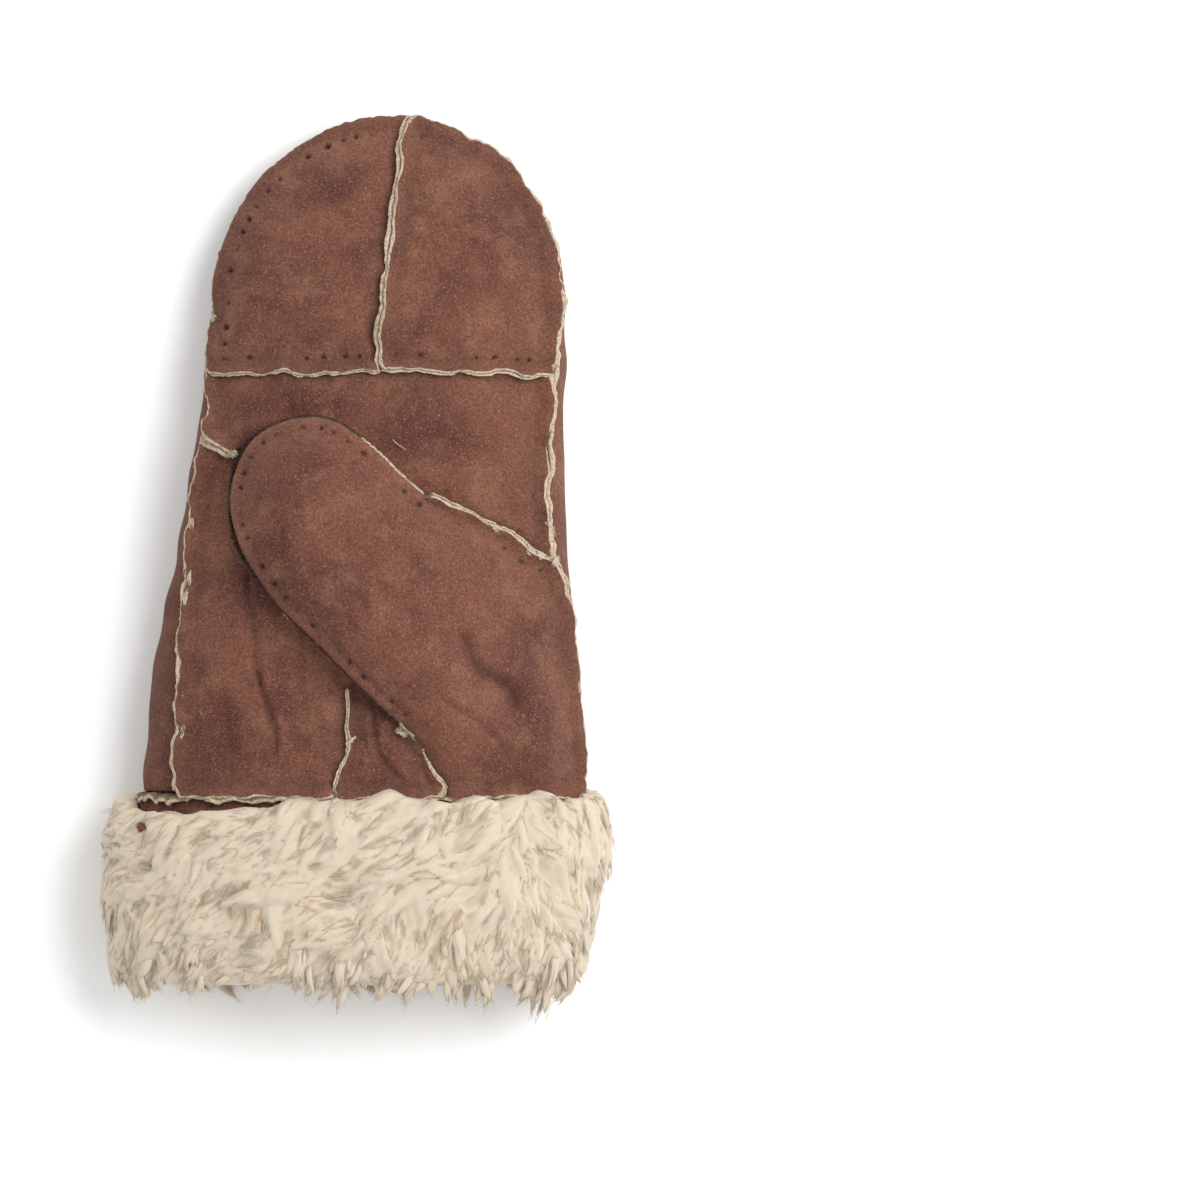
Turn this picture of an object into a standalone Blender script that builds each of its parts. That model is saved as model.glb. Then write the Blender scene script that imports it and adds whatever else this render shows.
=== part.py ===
"""A shearling mitten for the right hand, lying on its back with the palm up.

Suede patches are sewn edge to edge with their raw edges turned out as low ridges, round a fleece
pocket. A strip runs round the edge between the palm patches and the back. The thumb lies across the
palm, and a deep fleece cuff surrounds the mouth. While it is built, x is the width, y runs from the cuff
seam to the fingertips and z is up from the surface that the mitten lies on.
"""

import math

import bpy
import numpy as np
from mathutils import Matrix, Vector
from mathutils.geometry import delaunay_2d_cdt

# Hand
HAND_LENGTH = 0.2147
WRIST_WIDTH = 0.1402
CAP_WIDTH = 0.113
CAP_RISE = 0.061
CAP_LEAN = 0.0085
PALM_HEIGHT = 0.045
RIM_SHARE = 0.42
CUFF_LIFT = 0.007

# Thumb
THUMB_LENGTH = 0.0746
THUMB_WIDTH = 0.0584
THUMB_TURN = math.radians(135.6)
THUMB_CROWN = 0.012
THUMB_EDGE_LIFT = 0.004
HEEL_CROWN = 0.003

# Leather, fleece and their clearances
HIDE = 0.0018
GAP = 0.0003
SEAM_RISE = 0.0026
SEAM_SPREAD = 0.0028
LINING_SLACK = 0.0011
LINING_PILE = 0.005
CUFF_DEPTH = 0.054
CUFF_PILE = 0.0145
LOCK_RISE = 0.0032
LOCK_LENGTH = 0.0085
FOLD_DEPTH = 0.0016
FOLD_WIDTH = 0.0055

# Fineness of the facets
SEAM_STEP = 0.0058
CELL = 0.0135
RING_SIDES = 48
STATIONS = 74
LOCK_SEED = 7
SHARPEST_MITRE = 0.45
SHARP_ANGLE = math.radians(35)

# Shapes of the sections, as powers and as shares of what they round
ROUNDING = 2.5
BACK_ROUNDING = 4.0
BACK_FLAT = 1.07
BACK_SEAM = 0.93
THUMB_ROUNDING = 2.4
THUMB_CROWN_REACH = 0.48
THUMB_CORNER = 0.25
SEAM_CORNER = 0.2
HEEL_REACH = 0.8
THUMB_WAY = 0.42
CAP_BASE = HAND_LENGTH - CAP_RISE


def table(columns, *rows):
    """A short table as a dictionary of columns. The first column is the one that is looked up."""
    return dict(zip(columns.split(), np.array(rows, float).T))


# Shares of the hand's length, of the wrist's extra width, of the cap's lean, of the palm's height and
# of the cuff's lift
BODY = table(
    "up taper lean height lift",
    (-0.30, 0.74, -0.50, 1.02, 1.00),
    (-0.06, 0.94, -0.20, 1.06, 1.00),
    (0.00, 1.00, 0.00, 1.06, 0.96),
    (0.14, 0.87, 0.05, 1.02, 0.30),
    (0.35, 0.46, 0.34, 1.00, 0.00),
    (0.52, 0.18, 0.64, 0.96, 0.00),
    (0.73, 0.00, 1.00, 0.86, 0.00),
    (1.00, 0.00, 1.00, 0.64, 0.00),
)

# The seam between the palm patches and the side strip: the place round the edge, as a share of the way
# from the left wrist to the right one, and how far out from the middle it lies
PALM_SEAM = table(
    "station out",
    (0.000, 0.814),
    (0.045, 0.820),
    (0.085, 0.845),
    (0.124, 0.872),
    (0.163, 0.906),
    (0.202, 0.915),
    (0.234, 0.905),
    (0.272, 0.950),
    (0.312, 0.970),
    (0.400, 0.985),
    (0.520, 0.985),
    (0.603, 0.972),
    (0.640, 0.954),
    (0.674, 0.935),
    (0.727, 0.920),
    (0.772, 0.897),
    (0.811, 0.885),
    (0.850, 0.910),
    (0.883, 0.962),
    (0.915, 0.985),
    (1.000, 0.985),
)
CAP_SEAM_LEFT = 0.272
CAP_TOP = 0.514
STRIP_JOINT = 0.670
CAP_SEAM_RIGHT = 0.727
MIDDLE_SEAM_LEFT = 0.230
THUMB_SEAM_RIGHT = 0.852

# Seam points as shares of the half width out from the middle and of the hand's length
CAP_MIDDLE = ((0.060, 0.879), (0.003, 0.730))
CAP_JUNCTION = (-0.010, 0.629)
MIDDLE_SEAM = ((-0.745, 0.496),)
THUMB_SEAM = ((0.655, 0.383), (0.470, 0.410))
THUMB_TOP = (0.285, 0.437)
THUMB_FOOT = (0.167, 0.101)
THUMB_MIDDLE = (0.2265, 0.269)
WEDGE_TOP = (0.276, 0.283)
WEDGE_SEAM = ((0.062, 0.224), (-0.046, 0.149), (-0.054, 0.075))
WEDGE_END = (-0.106, 0.0)
HEEL_SEAM = ((0.283, 0.045),)
HEEL_END = (0.384, 0.0)

# The thumb's free outline: shares of its length from its middle and of its half width to either side
THUMB = table(
    "along upper lower",
    (0.43, 0.98, -0.995),
    (0.56, 0.98, -0.945),
    (0.69, 0.95, -0.860),
    (0.80, 0.885, -0.730),
    (0.89, 0.720, -0.540),
    (0.96, 0.470, -0.280),
)
THUMB_TIP = (1.0, 0.10)
THUMB_LOWER_EDGE = ((0.15, -1.0), (-0.08, -1.01))

# Worn-in creases: shares of the half width and the hand's length at both ends, of the width and depth
FOLDS = {
    "palm_lower": table("x0 y0 x1 y1 width depth", (-0.617, 0.320, -0.409, 0.082, 1.0, 0.9)),
    "thumb_front": table("x0 y0 x1 y1 width depth", (0.473, 0.224, 0.751, 0.127, 1.1, 1.0)),
    "palm_wedge": table("x0 y0 x1 y1 width depth", (0.038, 0.112, 0.133, 0.022, 0.8, 0.7)),
}

# Section of the cuff's fleece, from its upper edge over the outside to the mouth: shares of the pile
# outwards, of the cuff's depth downwards and of the locks' rise and length
FLEECE = table(
    "row out down rise length",
    (0, 0.36, 0.070, 0.15, 0.0),
    (1, 0.72, 0.100, 0.60, 0.0),
    (2, 0.92, 0.230, 1.00, 0.0),
    (3, 1.00, 0.380, 1.00, 0.0),
    (4, 1.02, 0.540, 1.00, 0.1),
    (5, 1.00, 0.700, 1.00, 0.3),
    (6, 0.94, 0.860, 1.00, 0.6),
    (7, 0.78, 1.010, 0.90, 1.0),
    (8, 0.48, 1.120, 0.70, 1.0),
    (9, 0.10, 1.150, 0.40, 0.6),
    (10, -0.22, 1.110, 0.30, 0.3),
    (11, -0.36, 1.050, 0.00, 0.0),
)


def smooth(rows, column, at):
    """A column's value between its rows, on a cubic whose slope at each row follows its neighbours."""
    x, y = rows[next(iter(rows))], rows[column]
    at = np.clip(at, x[0], x[-1])
    slope = np.gradient(y, x)
    low = np.clip(np.searchsorted(x, at) - 1, 0, len(x) - 2)
    span = x[low + 1] - x[low]
    t = (at - x[low]) / span
    rise = (y[low + 1] - y[low]) * t * t * (3 - 2 * t)
    bend = slope[low] * (t - 2 * t**2 + t**3) + slope[low + 1] * (t**3 - t**2)
    return y[low] + rise + bend * span


def ease(value):
    """0 below 0, 1 above 1 and smooth between."""
    value = np.clip(value, 0.0, 1.0)
    return value * value * (3 - 2 * value)


def half_width(y):
    extra = (WRIST_WIDTH - CAP_WIDTH) * smooth(BODY, "taper", y / HAND_LENGTH)
    return (CAP_WIDTH + extra) / 2


def middle(y):
    return CAP_LEAN * smooth(BODY, "lean", y / HAND_LENGTH)


def under(y):
    """Height of the underside above the surface, which only the cuff's fleece raises."""
    return CUFF_LIFT * np.maximum(smooth(BODY, "lift", y / HAND_LENGTH), 0.0)


def rim(y):
    """Height of the widest line of the hand."""
    return under(y) + RIM_SHARE * (full_height(y) - under(y))


def full_height(y):
    return PALM_HEIGHT * smooth(BODY, "height", y / HAND_LENGTH)


def outness(x, y, inset=0.0):
    """0 on the hand's middle line, 1 on its outline drawn in by inset."""
    across = (x - middle(y)) / (half_width(y) - inset)
    along = np.maximum(y - CAP_BASE, 0.0) / (CAP_RISE - inset)
    return np.clip(np.hypot(across, along), 0.0, 1.0)


def top(x, y, inset=0.0):
    """Height of the palm side: a crown that falls to the rim as a rounded superellipse."""
    crown = full_height(y) - rim(y) - inset
    return rim(y) + crown * np.sqrt(1 - outness(x, y, inset) ** ROUNDING)


def bottom(x, y, inset=0.0):
    """Height of the back, flattened where it rests."""
    depth = rim(y) - under(y) - inset
    curve = BACK_FLAT * np.sqrt(1 - outness(x, y, inset) ** BACK_ROUNDING)
    return rim(y) - depth * np.minimum(curve, 1.0)


def palm_top(points):
    return top(points[:, 0], points[:, 1])


def hand_back(points):
    return bottom(points[:, 0], points[:, 1])


def place(out, up):
    """Plan point from a share of the half width out of the middle and a share of the hand's length."""
    y = np.asarray(up, float) * HAND_LENGTH
    return np.stack([middle(y) + np.asarray(out, float) * half_width(y), y], axis=-1)


def placed(*shares):
    return [place(out, up) for out, up in shares]


def edge_point(station, out):
    """Plan point at a place round the edge, a share out from the hand's middle to its outline."""
    station = np.asarray(station, float)
    arc = math.pi / 2 * (CAP_WIDTH / 2 + CAP_RISE)
    run = station * (2 * CAP_BASE + arc)
    y = np.minimum(np.minimum(run, 2 * CAP_BASE + arc - run), CAP_BASE)
    turn = math.pi * (1 - np.clip((run - CAP_BASE) / arc, 0, 1))
    spine = np.stack([middle(y), y], axis=-1)
    reach = np.stack([half_width(y) * np.cos(turn), CAP_RISE * np.sin(turn)], axis=-1)
    return spine + np.asarray(out, float)[..., None] * reach


def even(points, step):
    """Points a step apart or a little less along a dense line."""
    run = np.r_[0, np.cumsum(np.linalg.norm(np.diff(points, axis=0), axis=1))]
    at = np.linspace(0, run[-1], max(2, math.ceil(run[-1] / step) + 1))
    return np.stack([np.interp(at, run, axis) for axis in points.T], axis=-1)


def through(points, step=SEAM_STEP):
    """An even line on a smooth curve through a few points."""
    points = np.array(points)
    run = np.r_[0, np.cumsum(np.linalg.norm(np.diff(points, axis=0), axis=1))]
    rows = {"run": run, "x": points[:, 0], "y": points[:, 1]}
    at = np.linspace(0, run[-1], 40 * len(points))
    return even(np.stack([smooth(rows, "x", at), smooth(rows, "y", at)], axis=-1), step)


def palm_seam(start, end, step=SEAM_STEP):
    station = np.linspace(start, end, 200)
    return even(edge_point(station, smooth(PALM_SEAM, "out", station)), step)


def seam_end(station):
    return palm_seam(station, station + 1e-6)[0]


def thumb_point(along, across):
    """Plan point in the thumb's own directions, as shares of its length and half width."""
    ahead = np.array([math.cos(THUMB_TURN), math.sin(THUMB_TURN)])
    aside = np.array([ahead[1], -ahead[0]])
    reach = along * THUMB_LENGTH * ahead + across * THUMB_WIDTH / 2 * aside
    return place(*THUMB_MIDDLE) + reach


def cap_middle_seam():
    """From the top of the cap down to the seam across it."""
    return through([seam_end(CAP_TOP), *placed(*CAP_MIDDLE, CAP_JUNCTION)])


def cap_seam_left():
    return through([seam_end(CAP_SEAM_LEFT), place(*CAP_JUNCTION)])


def cap_seam_right():
    return through([place(*CAP_JUNCTION), seam_end(CAP_SEAM_RIGHT)])


def middle_seam():
    """Between the upper and lower palm, from the left edge to the thumb's upper corner."""
    return through([seam_end(MIDDLE_SEAM_LEFT), *placed(*MIDDLE_SEAM, THUMB_TOP)])


def thumb_seam():
    """Between the upper palm and the thumb's face, from the right edge to the thumb's upper corner."""
    return through([seam_end(THUMB_SEAM_RIGHT), *placed(*THUMB_SEAM, THUMB_TOP)])


def crease_upper():
    return through(placed(THUMB_TOP, WEDGE_TOP))


def crease_lower():
    return through(placed(WEDGE_TOP, THUMB_FOOT))


def wedge_seam():
    return through(placed(WEDGE_TOP, *WEDGE_SEAM, WEDGE_END))


def heel_seam():
    return through(placed(THUMB_FOOT, *HEEL_SEAM, HEEL_END))


def thumb_free_edge():
    """Round the free thumb, from its upper corner over the tip to its lower corner."""
    upper = [thumb_point(a, u) for a, u in zip(THUMB["along"], THUMB["upper"])]
    lower = [thumb_point(a, w) for a, w in zip(THUMB["along"], THUMB["lower"])]
    tip = [thumb_point(*THUMB_TIP)]
    edge = [thumb_point(*p) for p in THUMB_LOWER_EDGE]
    return through([place(*THUMB_TOP), *upper, *tip, *lower[::-1], *edge, place(*THUMB_FOOT)])


def cuff_line(start, end):
    return even(np.array([start, end]), SEAM_STEP)


def closed(*lines):
    """One loop from lines that follow each other, turning to the left."""
    loop = np.concatenate([line[:-1] for line in lines])
    ahead = np.roll(loop, -1, axis=0)
    area = (loop[:, 0] * ahead[:, 1] - loop[:, 1] * ahead[:, 0]).sum()
    return loop if area > 0 else loop[::-1]


def distance(points, line, joined=True):
    """Shortest way from each point to a line, closed if joined."""
    start = line if joined else line[:-1]
    run = (np.roll(line, -1, axis=0) if joined else line[1:]) - start
    off = points[:, None] - start[None]
    share = np.clip((off * run).sum(-1) / np.maximum((run * run).sum(-1), 1e-18), 0, 1)
    return np.linalg.norm(off - share[..., None] * run, axis=-1).min(axis=1)


def inside(points, loop):
    """Whether each point lies in the loop, by counting the sides to its right."""
    a, b = loop, np.roll(loop, -1, axis=0)
    x, y = points[:, :1], points[:, 1:]
    spans = (a[:, 1] > y) != (b[:, 1] > y)
    height = np.where(b[:, 1] == a[:, 1], 1.0, b[:, 1] - a[:, 1])
    cross = a[:, 0] + (y - a[:, 1]) * (b[:, 0] - a[:, 0]) / height
    return (spans & (x < cross)).sum(axis=1) % 2 == 1


def drawn_in(loop, by):
    """The loop moved inwards, with its corners mitred up to a limit."""
    side = np.roll(loop, -1, axis=0) - loop
    side = side / np.linalg.norm(side, axis=1, keepdims=True)
    inward = np.stack([-side[:, 1], side[:, 0]], axis=-1)
    corner = inward + np.roll(inward, 1, axis=0)
    corner = corner / np.linalg.norm(corner, axis=1, keepdims=True)
    mitre = np.maximum((corner * inward).sum(axis=1, keepdims=True), SHARPEST_MITRE)
    return loop + corner * by / mitre


def fold_lines(patch):
    """The middle and both sides of each crease of a patch, as plan points."""
    rows = FOLDS.get(patch)
    if rows is None:
        return []
    lines = []
    for x0, y0, x1, y1, width in zip(*(rows[c] for c in "x0 y0 x1 y1 width".split())):
        start, end = place(x0, y0), place(x1, y1)
        ahead = (end - start) / np.linalg.norm(end - start)
        aside = np.array([-ahead[1], ahead[0]]) * width * FOLD_WIDTH
        lines += [even(np.array([start, end]) + aside * k, CELL / 2) for k in (-1, 0, 1)]
    return lines


def creased(patch, points, height):
    """The height lowered along the patch's creases, in a round valley that fades at its ends."""
    rows = FOLDS.get(patch)
    if rows is None:
        return height
    for x0, y0, x1, y1, width, depth in zip(*rows.values()):
        line = np.array([place(x0, y0), place(x1, y1)])
        share = np.clip(distance(points, line, joined=False) / (width * FOLD_WIDTH), 0, 1)
        height = height - depth * FOLD_DEPTH * (1 - ease(share))
    return height


def blended(points, line, values, power=3.0):
    """Values known along a line carried to other points, weighed by nearness to a power."""
    away = np.linalg.norm(points[:, None] - line[None], axis=-1) + 1e-6
    weight = away**-power
    return (weight * values).sum(axis=1) / weight.sum(axis=1)


def edge_lift(line):
    """How far the thumb's free edge stands off the palm along the line, nothing at its two corners."""
    run = np.r_[0, np.cumsum(np.linalg.norm(np.diff(line, axis=0), axis=1))]
    return THUMB_EDGE_LIFT * ease(np.minimum(run, run[-1] - run) / (THUMB_CORNER * THUMB_WIDTH))


def thumb_under(points):
    """Height of the thumb's underside: it lies on the palm and its free edge stands off."""
    edge = even(thumb_free_edge(), SEAM_STEP / 4)
    share = np.clip(distance(points, edge, joined=False) / (THUMB_WIDTH / 2), 0, 1)
    lift = blended(points, edge, edge_lift(edge)) * (1 - share) ** 2
    return palm_top(points) + GAP + lift


def heel_line():
    """The sewn edge of the thumb's face, from its upper corner round the heel to its lower corner."""
    right = palm_seam(THUMB_SEAM_RIGHT, 1.0)
    line = [thumb_seam()[::-1], right[1:], cuff_line(right[-1], place(*HEEL_END))[1:]]
    return np.concatenate([*line, heel_seam()[::-1][1:]])


def thumb_over(points):
    """Height of the thumb's face and the heel: a dome over the palm that ends at its seams."""
    free = even(thumb_free_edge(), SEAM_STEP / 4)
    sewn = even(heel_line(), SEAM_STEP / 4)
    walls = 2 * (HIDE + 2 * GAP)
    run = np.r_[0, np.cumsum(np.linalg.norm(np.diff(sewn, axis=0), axis=1))]
    fade = 1 - ease(np.minimum(run, run[-1] - run) / (SEAM_CORNER * THUMB_WIDTH))
    line = np.concatenate([free, sewn])
    lift = blended(points, line, np.r_[walls + edge_lift(free), walls * fade])
    away = np.minimum(distance(points, free, False), distance(points, sewn, False))
    share = np.clip(away / (THUMB_CROWN_REACH * THUMB_WIDTH), 0, 1)
    base = place(*THUMB_TOP) - place(*THUMB_FOOT)
    offset = points - place(*THUMB_FOOT)
    beyond = (offset[:, 0] * base[1] - offset[:, 1] * base[0]) / np.linalg.norm(base)
    heel = ease(beyond / (HEEL_REACH * THUMB_WIDTH))
    crown = THUMB_CROWN + (HEEL_CROWN - THUMB_CROWN) * heel
    dome = 1 - (1 - share) ** THUMB_ROUNDING
    return creased("thumb_front", points, palm_top(points) + lift + crown * dome)


def normals(points, height):
    """Upward normals of a height over plan points, by small steps to either side."""
    step = 1e-4
    slopes = []
    for axis in ([step, 0.0], [0.0, step]):
        slopes.append((height(points + axis) - height(points - axis)) / (2 * step))
    up = np.stack([-slopes[0], -slopes[1], np.ones(len(points))], axis=-1)
    return up / np.linalg.norm(up, axis=1, keepdims=True)


def spread_points(loop, extra):
    """Plan points that fill a loop: the extra ones, and a staggered grid clear of them and the edge."""
    low, high = loop.min(axis=0), loop.max(axis=0)
    rows = np.arange(low[1], high[1], CELL * 0.87)
    grid = []
    for index, y in enumerate(rows):
        x = np.arange(low[0] + index % 2 * CELL / 2, high[0], CELL)
        grid.append(np.stack([x, np.full(len(x), y)], axis=-1))
    grid = np.concatenate(grid)
    keep = inside(grid, loop) & (distance(grid, loop) > SEAM_SPREAD + 0.4 * CELL)
    if not extra:
        return grid[keep]
    extra = np.concatenate(extra)
    near = inside(extra, loop) & (distance(extra, loop) > 2 * SEAM_SPREAD)
    extra = extra[near]
    clear = np.linalg.norm(grid[:, None] - extra[None], axis=-1).min(axis=1) > 0.55 * CELL
    return np.concatenate([grid[keep & clear], extra])


def triangulated(loop, extra):
    """Plan points and triangles of a loop with one row along its edge and a loose filling."""
    edge = drawn_in(loop, GAP / 2)
    row = drawn_in(loop, SEAM_SPREAD + GAP / 2)
    row = row[inside(row, loop) & (distance(row, loop) > 0.8 * SEAM_SPREAD)]
    points = np.concatenate([edge, row, spread_points(loop, extra)])
    count = len(edge)
    sides = [(i, (i + 1) % count) for i in range(count)]
    coords = [Vector(p) for p in points.tolist()]
    result = delaunay_2d_cdt(coords, sides, [list(range(count))], 1, 1e-7)
    return np.array([tuple(p) for p in result[0]]), np.array(result[2])


def add_object(name, points, faces, material):
    mesh = bpy.data.meshes.new(name)
    mesh.from_pydata(np.asarray(points).tolist(), [], [list(map(int, f)) for f in faces])
    mesh.materials.append(material)
    mesh.shade_smooth()
    mesh.set_sharp_from_angle(angle=SHARP_ANGLE)
    piece = bpy.data.objects.new(name, mesh)
    bpy.context.scene.collection.objects.link(piece)
    return piece


def walled(faces, count):
    """Triangles of both skins of a sheet and the wall between their edges. The inner skin comes second."""
    ends = np.concatenate([faces[:, [0, 1]], faces[:, [1, 2]], faces[:, [2, 0]]])
    pairs = {tuple(e) for e in ends.tolist()}
    open_edges = [(a, b) for a, b in pairs if (b, a) not in pairs]
    wall = [(b, a, a + count, b + count) for a, b in sorted(open_edges)]
    return [*faces.tolist(), *(faces[:, ::-1] + count).tolist(), *wall]


def add_patch(name, loop, height, seat, material, ridge=None, faces_down=False):
    """A leather patch cut to a plan loop and laid on a height, with its sewn edges turned out.

    Its edge stands square to the seat, the hand's own surface, so that neighbours' edges face each other.
    """
    points, faces = triangulated(loop, fold_lines(name))
    up = normals(points, height)
    edge = distance(points, loop) < GAP
    up[edge] = normals(points[edge], seat)
    outer = np.column_stack([points, height(points)])
    if faces_down:
        up, faces = -up, faces[:, ::-1]
    rise = np.clip(1 - (distance(points, loop) - GAP / 2) / SEAM_SPREAD, 0, 1) * SEAM_RISE
    rise = rise * (ridge(points) if ridge else 0.0)
    skins = np.concatenate([outer + up * rise[:, None], outer - up * HIDE])
    return add_object(name, skins, walled(faces, len(points)), material)


def beside_thumb(points):
    """1 away from the thumb, 0 under it, where the seams lie flat."""
    loop = closed(thumb_free_edge(), crease_lower()[::-1], crease_upper()[::-1])
    away = np.where(inside(points, loop), 0.0, distance(points, loop))
    return ease(away / (2 * SEAM_SPREAD) - 1)


def off_free_edge(points):
    """0 along the thumb's free edge, which has no ridge, and 1 along its other seams."""
    away = distance(points, thumb_free_edge(), joined=False)
    return ease(away / (2 * SEAM_SPREAD) - 1)


def palm_height(patch):
    return lambda points: creased(patch, points, palm_top(points))


def add_palm(suede):
    left, right = cap_seam_left(), cap_seam_right()
    cap_middle = cap_middle_seam()
    cuff_start, cuff_wedge = seam_end(0.0), place(*WEDGE_END)
    loops = {
        "cap_left": closed(palm_seam(CAP_SEAM_LEFT, CAP_TOP), cap_middle, left[::-1]),
        "cap_right": closed(cap_middle[::-1], palm_seam(CAP_TOP, CAP_SEAM_RIGHT), right[::-1]),
        "palm_upper": closed(
            left,
            right,
            palm_seam(CAP_SEAM_RIGHT, THUMB_SEAM_RIGHT),
            thumb_seam(),
            middle_seam()[::-1],
            palm_seam(MIDDLE_SEAM_LEFT, CAP_SEAM_LEFT),
        ),
        "palm_lower": closed(
            palm_seam(0.0, MIDDLE_SEAM_LEFT),
            middle_seam(),
            crease_upper(),
            wedge_seam(),
            cuff_line(cuff_wedge, cuff_start),
        ),
        "palm_wedge": closed(
            crease_lower(),
            heel_seam(),
            cuff_line(place(*HEEL_END), cuff_wedge),
            wedge_seam()[::-1],
        ),
    }
    for name, loop in loops.items():
        add_patch(name, loop, palm_height(name), palm_top, suede, beside_thumb)


def add_thumb(suede):
    free = thumb_free_edge()
    face = closed(free, heel_line()[::-1])
    add_patch("thumb_front", face, thumb_over, palm_top, suede, off_free_edge)
    under_loop = closed(free, crease_lower()[::-1], crease_upper()[::-1])
    add_patch("thumb_back", under_loop, thumb_under, palm_top, suede, faces_down=True)


def add_back(suede):
    station = np.linspace(0, 1, 400)
    line = even(edge_point(station, np.full(400, BACK_SEAM)), SEAM_STEP)
    loop = closed(line, cuff_line(line[-1], line[0]))
    add_patch("back_panel", loop, hand_back, hand_back, suede, faces_down=True)


def band_section(station):
    """Points of the side strip's outer face from the palm seam over the rim to the back seam."""
    seam = smooth(PALM_SEAM, "out", station)
    share = np.linspace(1, 0, 30)
    upper = 1 - (1 - seam) * share**2
    lower = 1 - (1 - BACK_SEAM) * share[::-1][1:] ** 2
    over = edge_point(np.full(30, station), upper)
    below = edge_point(np.full(29, station), lower)
    line = np.concatenate(
        [
            np.column_stack([over, top(over[:, 0], over[:, 1])]),
            np.column_stack([below, bottom(below[:, 0], below[:, 1])]),
        ]
    )
    run = np.r_[0, np.cumsum(np.linalg.norm(np.diff(line, axis=0), axis=1))]
    first, last = GAP / 2, run[-1] - GAP / 2
    at = np.r_[first, np.linspace(first + SEAM_SPREAD, last, 6)]
    return np.stack([np.interp(at, run, axis) for axis in line.T], axis=-1)


def add_band(name, start, end, suede):
    """A leather strip round the edge, its sewn edge turned out along the palm seam.

    Its ends at the cuff stay in the plane of the cuff seam.
    """
    count = max(4, round(STATIONS * (end - start)))
    outer = np.array([band_section(s) for s in np.linspace(start, end, count)])
    along = np.gradient(outer, axis=0)
    across = np.gradient(outer, axis=1)
    up = np.cross(along, across)
    up = up / np.linalg.norm(up, axis=2, keepdims=True)
    up[:, 0] = normals(outer[:, 0, :2], palm_top)
    up[:, -1] = -normals(outer[:, -1, :2], hand_back)
    up[..., 1] *= np.clip(outer[..., 1] / SEAM_STEP, 0, 1)
    inner = outer - up * HIDE
    outer[:, 0] += up[:, 0] * SEAM_RISE
    columns = outer.shape[1]
    index = np.arange(count * columns).reshape(count, columns)
    a, b, c, d = (index[:-1, :-1], index[1:, :-1], index[1:, 1:], index[:-1, 1:])
    faces = [np.stack([a, b, c], axis=-1), np.stack([a, c, d], axis=-1)]
    faces = np.concatenate([f.reshape(-1, 3) for f in faces])
    skins = np.concatenate([outer.reshape(-1, 3), inner.reshape(-1, 3)])
    return add_object(name, skins, walled(faces, count * columns), suede)


def ring_line(y, outset, sides):
    """A closed line round the hand at one y, moved outwards by outset and kept off the surface."""
    turn = np.linspace(0, 2 * math.pi, sides, endpoint=False)
    along = max(y - CAP_BASE, 0.0) / (CAP_RISE + outset)
    reach = (half_width(y) + outset) * math.sqrt(max(1 - along**2, 0.0))
    x = middle(y) + reach * np.cos(turn)
    level = np.full(sides, y)
    upper, lower = top(x, level, -outset), bottom(x, level, -outset)
    height = np.where(np.sin(turn) >= 0, upper, np.maximum(lower, 0.0))
    return np.column_stack([x, level, height])


def looped_faces(rows, sides, turn_round=False):
    """Quads between neighbouring rings, the last joined to the first if turn_round."""
    faces = []
    for row in range(rows if turn_round else rows - 1):
        here, there = row * sides, (row + 1) % rows * sides
        for side in range(sides):
            beside = (side + 1) % sides
            faces.append((here + side, here + beside, there + beside, there + side))
    return faces


def add_cuff_strip(suede):
    """The leather ring under the cuff's fleece, with its sewn upper edge turned out."""
    upper, lower = -GAP / 2, -CUFF_DEPTH
    rows = [
        (upper, SEAM_RISE),
        (upper - SEAM_SPREAD, 0.0),
        (-CUFF_DEPTH / 2, 0.0),
        (lower, 0.0),
        (lower, -HIDE),
        (-CUFF_DEPTH / 2, -HIDE),
        (upper, -HIDE),
    ]
    rings = [ring_line(y, outset, RING_SIDES) for y, outset in rows]
    return add_object(
        "cuff_strip", np.concatenate(rings), looped_faces(len(rows), RING_SIDES, True), suede
    )


def lock_field(rows, sides):
    """How far each point of the fleece stands out, from 0 to 1: neighbours alternate, with soft lumps."""
    random = np.random.default_rng(LOCK_SEED)
    row, side = np.meshgrid(np.arange(rows), np.arange(sides), indexing="ij")
    checker = ((row + side) % 2).astype(float)
    return np.clip(0.65 * checker + 0.35 * random.random((rows, sides)), 0, 1)


def add_cuff_fleece(wool):
    """The cuff's fleece: locks fused to a ring that wraps from the cuff's outside over the mouth."""
    sides = 2 * RING_SIDES
    outs, downs = FLEECE["out"] * CUFF_PILE, -FLEECE["down"] * CUFF_DEPTH
    stand = lock_field(len(outs), sides)
    rings = []
    for row, (out, y) in enumerate(zip(outs, downs)):
        plain = ring_line(y, out, sides)
        proud = ring_line(y, out + LOCK_RISE * FLEECE["rise"][row], sides)
        ring = plain + (proud - plain) * stand[row][:, None]
        ring[:, 1] -= LOCK_LENGTH * FLEECE["length"][row] * stand[row] ** 2
        ring[:, 2] = np.maximum(ring[:, 2], 0.0)
        rings.append(ring)
    mouth = -CUFF_DEPTH - GAP
    rings.append(ring_line(mouth, FLEECE["out"][-1] * CUFF_PILE, sides))
    for y in (mouth, -CUFF_DEPTH / 2, downs[0] - 2 * GAP):
        rings.append(ring_line(y, GAP, sides))
    return add_object(
        "cuff_fleece", np.concatenate(rings), looped_faces(len(rings), sides, True), wool
    )


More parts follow.
